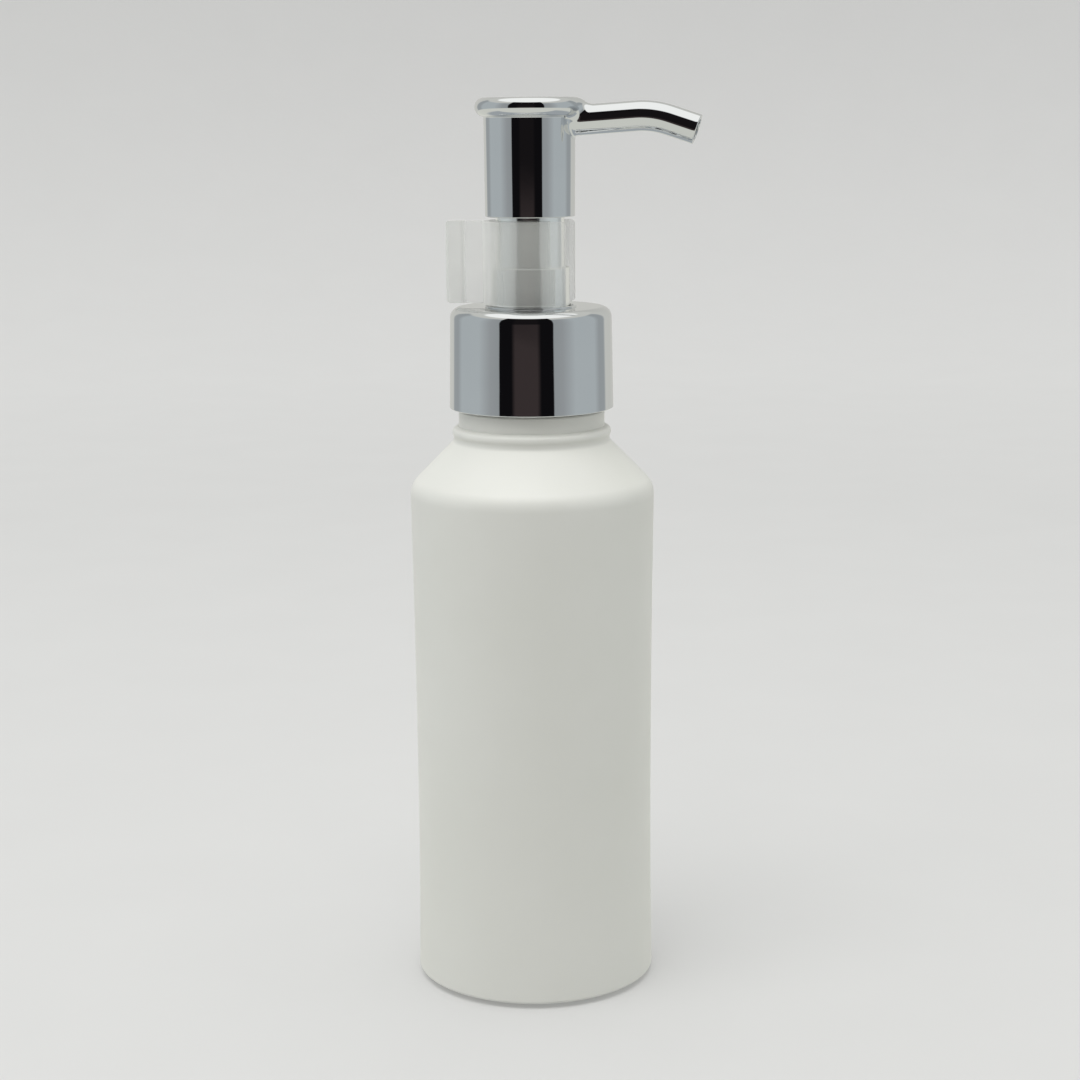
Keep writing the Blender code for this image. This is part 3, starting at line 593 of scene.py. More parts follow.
def make_guide():
    """Chimney that guides the head, with the floor that stops the stem's shoulder."""
    flange_top = GUIDE_FLANGE_Z + GUIDE_FLANGE_T
    floor_z = GUIDE_BOTTOM_Z + GUIDE_FLOOR_T
    profile = [
        (GUIDE_BORE_R, GUIDE_TOP_Z),
        (GUIDE_R, GUIDE_TOP_Z, 0.3),
        (GUIDE_R, flange_top, 0.15),
        (GUIDE_FLANGE_R, flange_top),
        (GUIDE_FLANGE_R, GUIDE_FLANGE_Z),
        (GUIDE_R, GUIDE_FLANGE_Z, 0.15),
        (GUIDE_R, GUIDE_BOTTOM_Z, 0.3),
        (STEM_HOLE_R, GUIDE_BOTTOM_Z),
        (STEM_HOLE_R, floor_z),
        (GUIDE_BORE_R, floor_z, 0.4),
    ]
    return lathe("guide_sleeve", rounded(profile, 0.2))


# ======== pump


def make_housing():
    """Flange, cup, barrel, ball chamber and dip-tube socket in one moulding."""
    flange_top = HOUSING_FLANGE_Z + HOUSING_FLANGE_T
    cup_bottom = CUP_FLOOR_Z - CUP_FLOOR_T
    outside = [
        (CUP_BORE_R, flange_top),
        (HOUSING_FLANGE_R, flange_top),
        (HOUSING_FLANGE_R, HOUSING_FLANGE_Z),
        (CUP_R, HOUSING_FLANGE_Z, 0.3),
        (CUP_R, cup_bottom, 0.9),
        (BARREL_R, cup_bottom, 0.5),
        (BARREL_R, LEDGE_Z, 0.6),
        (SOCKET_R, LEDGE_Z - LEDGE_TAPER, 0.6),
        (SOCKET_R, SOCKET_BOTTOM_Z),
        (SOCKET_BORE_R, SOCKET_BOTTOM_Z, 0.25),
        (SOCKET_BORE_R, SOCKET_TOP_Z),
    ]
    inside = [
        (INLET_R, SOCKET_TOP_Z, 0.1),
        (INLET_R, BALL_SEAT_BOTTOM_Z, 0.1),
        (BALL_CHAMBER_R, BALL_SEAT_TOP_Z, 0.1),
        (BALL_CHAMBER_R, BALL_CHAMBER_TOP_Z, 0.1),
        (BALL_LIP_R, BALL_CHAMBER_TOP_Z + BALL_CHAMBER_TAPER, 0.1),
        (BALL_LIP_R, LEDGE_Z, 0.1),
        (BARREL_BORE_R, LEDGE_Z, 0.15),
        (BARREL_BORE_R, CUP_FLOOR_Z),
        (CUP_BORE_R, CUP_FLOOR_Z, 0.5),
    ]
    return lathe("housing", rounded(outside + inside, 0.2), INNER_SEGMENTS)


def make_gasket():
    low, high = GASKET_Z, GASKET_Z + GASKET_T
    profile = [(GASKET_IN_R, high), (GASKET_OUT_R, high), (GASKET_OUT_R, low), (GASKET_IN_R, low)]
    return lathe("gasket_ring", rounded(profile, 0.15), INNER_SEGMENTS)


def make_dip_tube():
    """Suction tube whose foot is cut on a slope by the top face of a tilted cube."""
    profile = [
        (DIP_TUBE_BORE_R, DIP_TUBE_TOP_Z),
        (DIP_TUBE_R, DIP_TUBE_TOP_Z),
        (DIP_TUBE_R, DIP_TUBE_BOTTOM_Z),
        (DIP_TUBE_BORE_R, DIP_TUBE_BOTTOM_Z),
    ]
    tube = lathe("suction_tube", rounded(profile, 0.08), INNER_SEGMENTS)
    slope = radians(DIP_TUBE_CUT)
    size = 6 * DIP_TUBE_R
    bpy.ops.mesh.primitive_cube_add(size=size * MM)
    cutter = bpy.context.active_object
    rise = DIP_TUBE_R * tan(slope) - size / 2 / cos(slope)
    cutter.location = (0.0, 0.0, (DIP_TUBE_BOTTOM_Z + rise) * MM)
    cutter.rotation_euler = (0.0, slope, 0.0)
    return boolean(tube, cutter, "DIFFERENCE")


def make_ball():
    profile = arc(0.0, BALL_Z, BALL_R, 90, -90, 32)
    return lathe("check_ball", [(max(r, 0.0), z) for r, z in profile], 64)


def make_spring():
    """Wire spring whose first and last turns lie closed."""
    low, high = SPRING_LOW + SPRING_WIRE_R, SPRING_HIGH - SPRING_WIRE_R
    closed = 2.1 * SPRING_WIRE_R
    open_turns = SPRING_TURNS - 2
    rise = (high - low - 2 * closed) / open_turns
    points = []
    for i in range(SPRING_TURNS * SPRING_POINTS + 1):
        turn = i / SPRING_POINTS
        z = low + closed * min(turn, 1) + rise * min(max(turn - 1, 0), open_turns)
        z += closed * max(turn - 1 - open_turns, 0)
        a = 2 * pi * turn
        points.append((SPRING_R * cos(a), SPRING_R * sin(a), z))
    return sweep("spring_wire", points, [SPRING_WIRE_R] * len(points), 12)


def make_piston():
    """Soft sleeve with a sealing lip at each end, free to slip a little on the rod."""
    cup_z = PISTON_TOP_Z - PISTON_CUP_DEPTH
    profile = [
        (PISTON_BORE_R, cup_z),
        (PISTON_CUP_R, cup_z, 0.15),
        (PISTON_TIP_R, PISTON_TOP_Z, 0.08),
        (PISTON_LIP_R, PISTON_TOP_Z - PISTON_LIP_H),
        (PISTON_WAIST_R, PISTON_WAIST_HIGH, 0.3),
        (PISTON_WAIST_R, PISTON_WAIST_LOW, 0.3),
        (PISTON_LIP_R, PISTON_BOTTOM_Z + PISTON_LIP_H),
        (PISTON_TIP_R, PISTON_BOTTOM_Z, 0.08),
        (PISTON_SEAT_R, PISTON_BOTTOM_Z),
        (PISTON_BORE_R, PISTON_BOTTOM_Z + PISTON_SEAT_H),
    ]
    return lathe("piston_seal", rounded(profile, 0.1), INNER_SEGMENTS)


def make_rod():
    """Valve rod: shank in the stem, cone under the piston, flange on the spring."""
    profile = [
        (0.0, ROD_TOP_Z),
        (ROD_SHANK_R, ROD_TOP_Z, 0.3),
        (ROD_SHANK_R, ROD_CONE_TOP_Z),
        (ROD_CONE_R, ROD_CONE_BOTTOM_Z),
        (ROD_FLANGE_R, ROD_FLANGE_TOP_Z, 0.1),
        (ROD_FLANGE_R, ROD_FLANGE_Z, 0.15),
        (ROD_SPIGOT_R, ROD_FLANGE_Z, 0.1),
        (ROD_SPIGOT_R, ROD_SPIGOT_Z, 0.35),
        (0.0, ROD_SPIGOT_Z),
    ]
    return lathe("valve_rod", rounded(profile, 0.2, closed=False), INNER_SEGMENTS)


def make_stem():
    """Hollow stem from the piston up into the head, with its stop shoulder."""
    shoulder_top = STEM_BOTTOM_Z + STEM_SHOULDER_H
    profile = [
        (STEM_BORE_R, STEM_TOP_Z, 0.1),
        (STEM_R, STEM_TOP_Z, 0.3),
        (STEM_R, shoulder_top),
        (STEM_SHOULDER_R, shoulder_top, 0.15),
        (STEM_SHOULDER_R, STEM_BOTTOM_Z),
        (STEM_BORE_R, STEM_BOTTOM_Z, 0.15),
    ]
    return lathe("stem_tube", rounded(profile, 0.2), INNER_SEGMENTS)


# ======== head


def make_core():
    """Plated sleeve with a socket for the stem and an elbow channel to the spout."""
    sleeve_bore_r = CORE_SLEEVE_R - CORE_SLEEVE_T
    taper_z = CORE_BLOCK_Z - (CORE_BLOCK_R - CORE_SLEEVE_R)
    socket_z = STEM_TOP_Z + CORE_SOCKET_GAP
    profile = [
        (0.0, CORE_TOP_Z),
        (CORE_BLOCK_R, CORE_TOP_Z, 0.3),
        (CORE_BLOCK_R, CORE_BLOCK_Z),
        (CORE_SLEEVE_R, taper_z),
        (CORE_SLEEVE_R, CORE_BOTTOM_Z, 0.35),
        (sleeve_bore_r, CORE_BOTTOM_Z),
        (sleeve_bore_r, CORE_WEB_Z, 0.4),
        (CORE_BOSS_R, CORE_WEB_Z, 0.3),
        (CORE_BOSS_R, CORE_BOSS_BOTTOM_Z),
        (CORE_SOCKET_R, CORE_BOSS_BOTTOM_Z, 0.25),
        (CORE_SOCKET_R, socket_z, 0.1),
        (CHANNEL_R, socket_z, 0.1),
        (CHANNEL_R, SPOUT_ROOT_Z, 0.3),
        (0.0, SPOUT_ROOT_Z),
    ]
    core = lathe("head_sleeve", rounded(profile, 0.2, closed=False))
    port_z = SPOUT_ROOT_Z - PORT_DROP
    port_line = [(-0.3, 0, port_z), (3, 0, port_z), (8, 0, port_z)]
    port = sweep("port", port_line, [CHANNEL_R] * 3, 40)
    return boolean(core, port, "DIFFERENCE")


def make_head():
    """Flanged disc on a skirt, with a hole for the spout in its side."""
    rim = arc(RIM_R, RIM_Z, FLANGE_ROUND, 90, -78, 30)
    skirt_top = (HEAD_NECK_R, SKIRT_TOP_Z)
    cove = rounded([rim[-1], (HEAD_NECK_R, COVE_Z), skirt_top], COVE_ROUND, False)
    skirt = [
        skirt_top,
        (HEAD_BOTTOM_R, HEAD_BOTTOM_Z, PRESSED_EDGE),
        (HEAD_BORE_R, HEAD_BOTTOM_Z),
        (HEAD_BORE_R, HEAD_ROOF_Z, 0.4),
        (0.0, HEAD_ROOF_Z),
    ]
    profile = [(0.0, HEAD_TOP_Z)] + rim + cove[1:-1] + rounded(skirt, 0.2, False)
    head = lathe("head_cap", profile, 192)
    hole_r = SPOUT_R - 0.2  # the spout's root hides its edge
    hole = sweep("hole", spout_line(5.5, 12.0, 3), [hole_r] * 3, 48)
    return boolean(head, hole, "DIFFERENCE")


def spout_line(start_x, end_x, count):
    """Points of the spout's straight root, extended to both sides."""
    rise = tan(radians(SPOUT_RISE))
    points = []
    for i in range(count):
        x = start_x + (end_x - start_x) * i / (count - 1)
        points.append((x, 0.0, SPOUT_ROOT_Z + (x - SPOUT_ROOT_X) * rise))
    return points


def spout_parts():
    """Lengths of the spout's straight root and of its bend."""
    rise, droop = radians(SPOUT_RISE), radians(SPOUT_DROOP)
    return (SPOUT_STRAIGHT_X - SPOUT_ROOT_X) / cos(rise), SPOUT_BEND_R * (rise + droop)


def spout_axis(length):
    """Point and slope on the spout's centre line, length from its root."""
    rise = radians(SPOUT_RISE)
    straight, bend = spout_parts()
    first = min(length, straight)
    x = SPOUT_ROOT_X + first * cos(rise)
    z = SPOUT_ROOT_Z + first * sin(rise)
    turned = min(max(length - straight, 0.0), bend) / SPOUT_BEND_R
    x += SPOUT_BEND_R * (sin(rise) - sin(rise - turned))
    z -= SPOUT_BEND_R * (cos(rise) - cos(rise - turned))
    slope = rise - turned
    last = max(length - straight - bend, 0.0)
    return Vector((x + last * cos(slope), 0.0, z + last * sin(slope))), slope


def spout_length():
    """Length of the centre line up to the tip."""
    straight, bend = spout_parts()
    corner, _ = spout_axis(straight + bend)
    return straight + bend + (SPOUT_TIP_X - corner.x) / cos(radians(SPOUT_DROOP))


def head_distance(point):
    """Distance from a point to the head's outside, flange and skirt."""
    r = hypot(point.x, point.y)
    flange = hypot(max(r - RIM_R, 0.0), point.z - RIM_Z) - FLANGE_ROUND
    return smooth_min(flange, r - HEAD_NECK_R, COVE_BLEND)


def smooth_min(a, b, reach):
    """The smaller of two distances, blended where they differ by less than reach."""
    near = max(reach - abs(a - b), 0.0) / reach
    return min(a, b) - near * near * reach / 4


def fairing_reach(angle):
    """The joint is wide above the spout and narrow under it."""
    return FAIRING * (FAIRING_SIDE + (1 - FAIRING_SIDE) * sin(angle))


def fairing_length(angle, radius):
    """Where the joined outside of head and spout is, along the spout, at that radius."""
    inside, outside = -4.0, 9.0
    for _ in range(40):
        middle = (inside + outside) / 2
        point = spout_point(middle, angle, radius)
        joined = smooth_min(head_distance(point), radius - SPOUT_R, fairing_reach(angle))
        if joined > 0:
            outside = middle
        else:
            inside = middle
    return outside


def spout_point(length, angle, radius):
    """Point at that length along the spout, angle round it and radius from its centre line."""
    if length < 0:
        centre, slope = spout_axis(0.0)
        centre = centre + Vector((cos(slope), 0.0, sin(slope))) * length
    else:
        centre, slope = spout_axis(length)
    up = Vector((-sin(slope), 0.0, cos(slope)))
    return centre + (Vector((0.0, 1.0, 0.0)) * cos(angle) + up * sin(angle)) * radius


def spout_column(angle):
    """One line of points along the spout: root, fairing, tube, tip and back along the bore."""
    widest = SPOUT_R + fairing_reach(angle)
    if sin(angle) > 0:
        widest = min(widest, (FAIRING_TOP_Z - SPOUT_ROOT_Z) / sin(angle))
    hidden = fairing_length(angle, widest) - 0.45  # the first two points lie inside the head
    points = [spout_point(SPOUT_INSET, angle, SPOUT_R - 0.25)]
    points.append(spout_point(hidden, angle, widest - 0.1))
    steps = 18
    for i in range(steps + 1):
        radius = SPOUT_R + (widest - SPOUT_R) * (1 - i / steps) ** 2
        start = fairing_length(angle, max(radius, SPOUT_R + 0.001))
        points.append(spout_point(start, angle, radius))
    return points + spout_tube(angle, start)


def spout_tube(angle, start):
    """The rest of a column: along the tube from start, round its tip and back along the bore."""
    points = []
    end = spout_length()
    rim = end - SPOUT_EDGE
    tube_steps, bore_steps, edge_steps = 48, 32, 6
    for i in range(1, tube_steps + 1):
        points.append(spout_point(start + (rim - start) * i / tube_steps, angle, SPOUT_R))
    for i in range(1, edge_steps + 1):
        a = pi / 2 * i / edge_steps
        radius = SPOUT_R - SPOUT_EDGE * (1 - cos(a))
        points.append(spout_point(end - SPOUT_EDGE * (1 - sin(a)), angle, radius))
    for i in range(edge_steps + 1):
        a = pi / 2 * i / edge_steps
        radius = SPOUT_BORE_R + SPOUT_EDGE * (1 - sin(a))
        points.append(spout_point(end - SPOUT_EDGE * (1 - cos(a)), angle, radius))
    for i in range(1, bore_steps + 1):
        length = rim * (1 - i / bore_steps) + SPOUT_INSET
        points.append(spout_point(length, angle, SPOUT_BORE_R))
    return points


def make_spout():
    """Bent nozzle whose root flares smoothly into the head."""
    sides = 96
    columns = [spout_column(2 * pi * j / sides) for j in range(sides)]
    rows = len(columns[0])
    vertices = [columns[j][i] for i in range(rows) for j in range(sides)]
    for vertex in vertices:
        vertex.z = min(vertex.z, HEAD_TOP_Z - 0.01)
    return tidy_mesh(new_mesh("nozzle", vertices, grid_faces(rows, sides, True)))


# ======== lock clip


def clip_arm(offset):
    """One side of half the ring and its turned-out lip, offset from the wall's middle."""
    mid_r = CLIP_BORE_R + CLIP_WALL / 2
    points = []
    steps = 56
    start = 180 if offset < 0 else 180 - degrees(CLIP_TAB_T / 2 / (mid_r + offset))
    for i in range(steps + 1):
        a = radians(start + (CLIP_MOUTH - start) * i / steps)
        points.append(((mid_r + offset) * cos(a), (mid_r + offset) * sin(a)))
    hinge_r = mid_r + CLIP_LIP_ROUND
    mouth = radians(CLIP_MOUTH)
    centre = (hinge_r * cos(mouth), hinge_r * sin(mouth))
    lip_steps = 14
    for i in range(1, lip_steps + 1):
        a = mouth + pi + radians(CLIP_LIP_TURN) * i / lip_steps
        radius = CLIP_LIP_ROUND - offset
        points.append((centre[0] + radius * cos(a), centre[1] + radius * sin(a)))
    return points


def clip_end(outer, inner):
    """Rounded end between the last outer and the last inner point."""
    a, b = Vector(outer), Vector(inner)
    middle, half = (a + b) / 2, (a - b) / 2
    ahead = Vector((-half.y, half.x))
    flatness = 0.55
    steps = 9
    points = []
    for i in range(1, steps):
        turn = pi * i / steps
        points.append(tuple(middle + half * cos(turn) - ahead * flatness * sin(turn)))
    return points


def clip_outline():
    """The clip from above: tab with its grip, ring and lips, mirrored about the X axis."""
    half = CLIP_WALL / 2
    bead_x = CLIP_TAB_X + CLIP_TAB_BEAD_R
    reach = degrees(asin(CLIP_TAB_T / 2 / CLIP_TAB_BEAD_R))
    bead = arc(bead_x, 0.0, CLIP_TAB_BEAD_R, 180, 90, 8)
    bead += arc(bead_x + CLIP_GRIP, 0.0, CLIP_TAB_BEAD_R, 90, reach, 6)
    outer, inner = clip_arm(half), clip_arm(-half)
    shift = 0.13  # keeps the rounded end inside the arm's length
    end = clip_end(outer[-1], inner[-1])
    end = [(x - shift, y - shift) for x, y in end]
    upper = bead + outer[:-1] + end + list(reversed(inner))[1:]
    lower = [(x, -y) for x, y in reversed(upper) if abs(y) > ON_AXIS]
    return upper + lower


def make_clip():
    """C-shaped clip with a tab, all its edges rounded."""
    outline = clip_outline()
    low = [(x, y, CLIP_BOTTOM_Z) for x, y in outline]
    high = [(x, y, CLIP_TOP_Z) for x, y in outline]
    clip = prism("snap_clip", low, high)
    clip = boolean(clip, rounded_window(max(x for x, _ in outline)), "INTERSECT")
    bevel = clip.modifiers.new("edges", "BEVEL")
    bevel.width = CLIP_EDGE * MM
    bevel.segments = 3
    bevel.limit_method = "ANGLE"
    bevel.angle_limit = radians(50)
    bevel.harden_normals = False
    return clip


def rounded_window(reach):
    """Prism along Y with rounded corners, which rounds the clip's corners seen from the side."""
    spare = 0.01
    reach += spare
    low, high = CLIP_BOTTOM_Z - spare, CLIP_TOP_Z + spare
    tab = CLIP_TAB_X - spare
    outline = rounded([(tab, low), (reach, low), (reach, high), (tab, high)], CLIP_CORNER)
    half_depth = 12.0
    near = [(x, -half_depth, z) for x, z in outline]
    far = [(x, half_depth, z) for x, z in outline]
    return prism("window", near, far)


# ======== materials


class Surface:
    """Short calls for the nodes of one procedural material in object coordinates."""

    def __init__(self, name, **sockets):
        self.material = bpy.data.materials.new(name)
        self.material.use_nodes = True
        self.tree = self.material.node_tree
        self.shader = self.tree.nodes["Principled BSDF"]
        for key, value in sockets.items():
            self.shader.inputs[key.replace("_", " ")].default_value = value
        self.place = self.tree.nodes.new("ShaderNodeTexCoord").outputs["Object"]

    def link(self, source, target):
        self.tree.links.new(source, target)

    def maths(self, operation, *values):
        return math_node(self.tree, operation, *values)

    def noise(self, scale, detail=3.0, stretch=(1.0, 1.0, 1.0)):
        mapping = self.tree.nodes.new("ShaderNodeMapping")
        mapping.inputs["Scale"].default_value = stretch
        self.link(self.place, mapping.inputs["Vector"])
        node = self.tree.nodes.new("ShaderNodeTexNoise")
        node.inputs["Scale"].default_value = scale
        node.inputs["Detail"].default_value = detail
        self.link(mapping.outputs["Vector"], node.inputs["Vector"])
        return node.outputs["Fac"]

    def spread(self, source, low, high, start=0.3, end=0.7):
        node = self.tree.nodes.new("ShaderNodeMapRange")
        node.inputs["From Min"].default_value = start
        node.inputs["From Max"].default_value = end
        node.inputs["To Min"].default_value = low
        node.inputs["To Max"].default_value = high
        self.link(source, node.inputs["Value"])
        return node.outputs["Result"]

    def color(self, source, dark, light, start=0.3, end=0.7):
        node = self.tree.nodes.new("ShaderNodeValToRGB")
        node.color_ramp.elements[0].position = start
        node.color_ramp.elements[1].position = end
        node.color_ramp.elements[0].color = (*dark, 1.0)
        node.color_ramp.elements[1].color = (*light, 1.0)
        self.link(source, node.inputs["Fac"])
        self.link(node.outputs["Color"], self.shader.inputs["Base Color"])

    def roughness(self, source, low, high):
        self.link(self.spread(source, low, high), self.shader.inputs["Roughness"])

    def bump(self, source, depth, previous=None):
        """Bump of that depth in millimetres, on top of a previous one."""
        node = self.tree.nodes.new("ShaderNodeBump")
        node.inputs["Strength"].default_value = 1.0
        node.inputs["Distance"].default_value = depth * MM
        self.link(source, node.inputs["Height"])
        if previous:
            self.link(previous, node.inputs["Normal"])
        self.link(node.outputs["Normal"], self.shader.inputs["Normal"])
        return node.outputs["Normal"]


def bottle_material():
    surface = Surface("hdpe_satin", IOR=1.75)
    surface.color(surface.noise(38.0), (0.735, 0.742, 0.695), (0.765, 0.770, 0.730))
    surface.roughness(surface.noise(160.0), 0.34, 0.42)
    slow = surface.bump(surface.noise(70.0, 1.0), 0.04)
    surface.bump(surface.noise(2600.0, 2.0), 0.004, slow)
    return surface.material


def silver_material(name, dark, light, low, high, wave=0.02):
    """Bright plating over moulded plastic, with a slight waviness and faint wiping marks."""
    surface = Surface(name, Metallic=1.0)
    surface.color(surface.noise(90.0), dark, light)
    surface.roughness(surface.noise(420.0, 4.0, (1.0, 1.0, 0.35)), low, high)
    slow = surface.bump(surface.noise(110.0, 1.0), wave)
    surface.bump(surface.noise(900.0, 2.0), wave * 0.03, slow)
    return surface.material


def moulded_material(name, dark, light, low, high, **sockets):
    surface = Surface(name, **sockets)
    surface.color(surface.noise(60.0), dark, light)
    surface.roughness(surface.noise(300.0), low, high)
    surface.bump(surface.noise(1500.0, 2.0), 0.003)
    return surface.material


def clip_material():
    """Cloudy and half clear, denser where a wall is seen edge on and in the thicker grip."""
    surface = Surface("milky_polypropylene", IOR=1.49)
    surface.color(surface.noise(80.0), (0.89, 0.905, 0.88), (0.93, 0.94, 0.91))
    surface.roughness(surface.noise(350.0), 0.16, 0.26)
    surface.bump(surface.noise(220.0, 1.0), 0.01)
    cloud = surface.spread(surface.noise(130.0), 0.205, 0.25)
    edge = surface.tree.nodes.new("ShaderNodeLayerWeight").outputs["Facing"]
    rim = surface.maths("MULTIPLY_ADD", surface.maths("POWER", edge, 2.0), 0.55, cloud)
    split = surface.tree.nodes.new("ShaderNodeSeparateXYZ")
    surface.link(surface.place, split.inputs[0])
    grip_end = (CLIP_TAB_X + 2 * CLIP_TAB_BEAD_R + CLIP_GRIP) * MM
    grip = surface.spread(split.outputs["X"], 0.22, 0.0, grip_end - 0.2 * MM, grip_end)
    surface.link(surface.maths("ADD", rim, grip), surface.shader.inputs["Alpha"])
    return surface.material


def wire_material():
    surface = Surface("drawn_wire", Metallic=1.0)
    surface.color(surface.noise(200.0), (0.44, 0.44, 0.43), (0.60, 0.60, 0.59))
    surface.roughness(surface.noise(1500.0), 0.22, 0.38)
    surface.bump(surface.noise(4000.0, 2.0), 0.002)
    return surface.material


def foam_material():
    surface = Surface("closed_cell_foam", Roughness=0.85)
    surface.color(surface.noise(900.0), (0.72, 0.72, 0.70), (0.86, 0.86, 0.84))
    surface.bump(surface.noise(2200.0, 4.0), 0.05)
    return surface.material


def floor_material():
    """White paper with a painted glow: it emits light of its own, which lifts its shadows and
    brightens it slowly towards the far wall.
    """
    surface = Surface("paper", Roughness=0.9, Emission_Color=(1.0, 1.0, 0.99, 1.0))
    surface.color(surface.noise(30.0), (0.436, 0.437, 0.431), (0.445, 0.446, 0.440))
    surface.bump(surface.noise(260.0), 0.05)
    away = surface.tree.nodes.new("ShaderNodeVectorMath")
    away.operation = "LENGTH"
    surface.link(surface.place, away.inputs[0])
    # painted glow, stronger with distance from the middle
    painted_glow = surface.spread(away.outputs["Value"], FLOOR_GLOW, WALL_GLOW, GLOW_START, GLOW_END)
    surface.link(painted_glow, surface.shader.inputs["Emission Strength"])
    return surface.material


# ======== studio


def turned_sheet(name, profile, segments=128):
    """An open sheet turned about Z, facing up and inwards."""
    faces = [tuple(reversed(f)) for f in grid_faces(len(profile), segments, False)]
    sheet = new_mesh(name, turned(profile, segments), faces)
    sheet.data.shade_smooth()
    return sheet


def make_studio():
    """A pale round studio: a flat floor that curves up into a wall, far from the object."""
    paper = floor_material()
    floor = turned_sheet("studio_floor", [(0.01, 0.0), (FLOOR_R / 2, 0.0), (FLOOR_R, 0.0)])
    curve = arc(WALL_R - WALL_CURVE, WALL_CURVE, WALL_CURVE, -90, 0, 24)
    wall = turned_sheet("studio_wall", [(FLOOR_R, 0.0)] + curve + [(WALL_R, WALL_TOP)])
    for sheet in (floor, wall):
        sheet.data.materials.append(paper)
        sheet.visible_glossy = False
    wall.visible_diffuse = False


def make_camera():
    """In front and above, turned a little towards the spout's side and looking down."""
    camera = bpy.data.objects.new("camera", bpy.data.cameras.new("camera"))
    bpy.context.scene.collection.objects.link(camera)
    camera.data.lens = CAMERA_LENS
    camera.data.sensor_width = 36.0
    camera.data.clip_start = 0.01
    azimuth = radians(CAMERA_AZIMUTH)
    turn = radians(CAMERA_AZIMUTH - CAMERA_YAW)
    pitch, roll = radians(CAMERA_PITCH), radians(CAMERA_ROLL)
    level = Vector((-sin(turn), cos(turn), 0.0))
    ahead = level * cos(pitch) - Vector((0.0, 0.0, sin(pitch)))
    up = level * sin(pitch) + Vector((0.0, 0.0, cos(pitch)))
    right = ahead.cross(up)
    up, right = up * cos(roll) + right * sin(roll), right * cos(roll) - up * sin(roll)
    matrix = Matrix((right, up, -ahead)).transposed().to_4x4()
    place = Vector((sin(azimuth), -cos(azimuth), 0.0)) * CAMERA_DISTANCE
    matrix.translation = (place + Vector((0.0, 0.0, CAMERA_HEIGHT))) * MM
    camera.matrix_world = matrix
    bpy.context.scene.camera = camera


def ramp_node(tree, source, stops):
    node = tree.nodes.new("ShaderNodeValToRGB")
    elements = node.color_ramp.elements
    while len(elements) < len(stops):
        elements.new(0.5)
    for element, (position, color) in zip(elements, stops):
        element.position = position
        element.color = (*color, 1.0)
    tree.links.new(source, node.inputs["Fac"])
    return node.outputs["Color"]


def math_node(tree, operation, *values):
    """Each value is a number or the output of another node."""
    node = tree.nodes.new("ShaderNodeMath")
    node.operation = operation
    for socket, value in zip(node.inputs, values):
        if isinstance(value, float):
            socket.default_value = value
        else:
            tree.links.new(value, socket)
    return node.outputs[0]


def mix_node(tree, factor, a, b):
    node = tree.nodes.new("ShaderNodeMix")
    node.data_type = "RGBA"
    tree.links.new(factor, node.inputs[0])
    for socket, value in ((node.inputs[6], a), (node.inputs[7], b)):
        if isinstance(value, tuple):
            socket.default_value = (*value, 1.0)
        else:
            tree.links.new(value, socket)
    return node.outputs[2]


def product_node(tree, a, b):
    node = tree.nodes.new("ShaderNodeVectorMath")
    node.operation = "MULTIPLY"
    tree.links.new(a, node.inputs[0])
    tree.links.new(b, node.inputs[1])
    return node.outputs[0]


def under(tree, source, edges):
    """One below the first edge, nothing above the second."""
    return ramp_node(tree, source, [(edges[0], WHITE), (edges[1], BLACK)])


def above(tree, source, edges):
    """Nothing below the first edge, one above the second."""
    return ramp_node(tree, source, [(edges[0], BLACK), (edges[1], WHITE)])


def half_shift(tree, source):
    """From the range -1 to 1 into the range 0 to 1."""
    return math_node(tree, "ADD", math_node(tree, "MULTIPLY", source, 0.5), 0.5)


def room_angles(tree, x, y, z):
    """How far a direction points to the doorway, and its turn from it in half turns."""
    azimuth = radians(DOOR_AZIMUTH)
    aside = math_node(tree, "MULTIPLY", x, sin(azimuth))
    along = math_node(tree, "ADD", aside, math_node(tree, "MULTIPLY", y, -cos(azimuth)))
    square = math_node(tree, "MULTIPLY", z, z)
    flat = math_node(tree, "SQRT", math_node(tree, "SUBTRACT", 1.0, square))
    facing = math_node(tree, "DIVIDE", along, math_node(tree, "MAXIMUM", flat, 0.001))
    return along, math_node(tree, "DIVIDE", math_node(tree, "ARCCOSINE", facing), pi)


def doorway_color(tree, turn, z):
    """Nearly black, with a brown middle that shows from just under the horizon downwards."""
    middle = ramp_node(tree, turn, [(DOOR_MIDDLE[0], DOOR_BROWN), (DOOR_MIDDLE[1], DOOR_BLACK)])
    depth = math_node(tree, "MULTIPLY", z, -10.0)
    share = ramp_node(tree, depth, [(DOOR_DEPTH[0], (0.1, 0.1, 0.1)), (DOOR_DEPTH[1], WHITE)])
    return mix_node(tree, share, DOOR_BLACK, middle)


def seen_room(tree, along, turn, height, z):
    """What the plating reflects."""
    walls = ramp_node(tree, turn, WALL_STOPS)
    room = mix_node(tree, above(tree, height, UPPER_EDGE), walls, UPPER_WALL)
    room = mix_node(tree, under(tree, turn, DOOR_EDGE), room, doorway_color(tree, turn, z))
    room = mix_node(tree, above(tree, height, CEILING_EDGE), room, CEILING)
    behind = under(tree, half_shift(tree, along), FRONT_EDGE)
    far_ground = product_node(tree, under(tree, height, STEEP_EDGE), behind)
    ground = mix_node(tree, far_ground, GROUND, GROUND_BEHIND)
    return mix_node(tree, under(tree, height, GROUND_EDGE), room, ground)


def soft_room(tree, turn, height, x):
    """The light on everything that isn't a mirror: even, and a little brighter left."""
    sides = ramp_node(tree, turn, [(SOFT_EDGE[0], SOFT_DOOR), (SOFT_EDGE[1], SOFT_SIDES)])
    tint = ramp_node(tree, half_shift(tree, x), [(0.1, SOFT_LEFT), (0.9, SOFT_RIGHT)])
    sides = product_node(tree, sides, tint)
    return mix_node(tree, above(tree, height, CEILING_EDGE), sides, SOFT_CEILING)


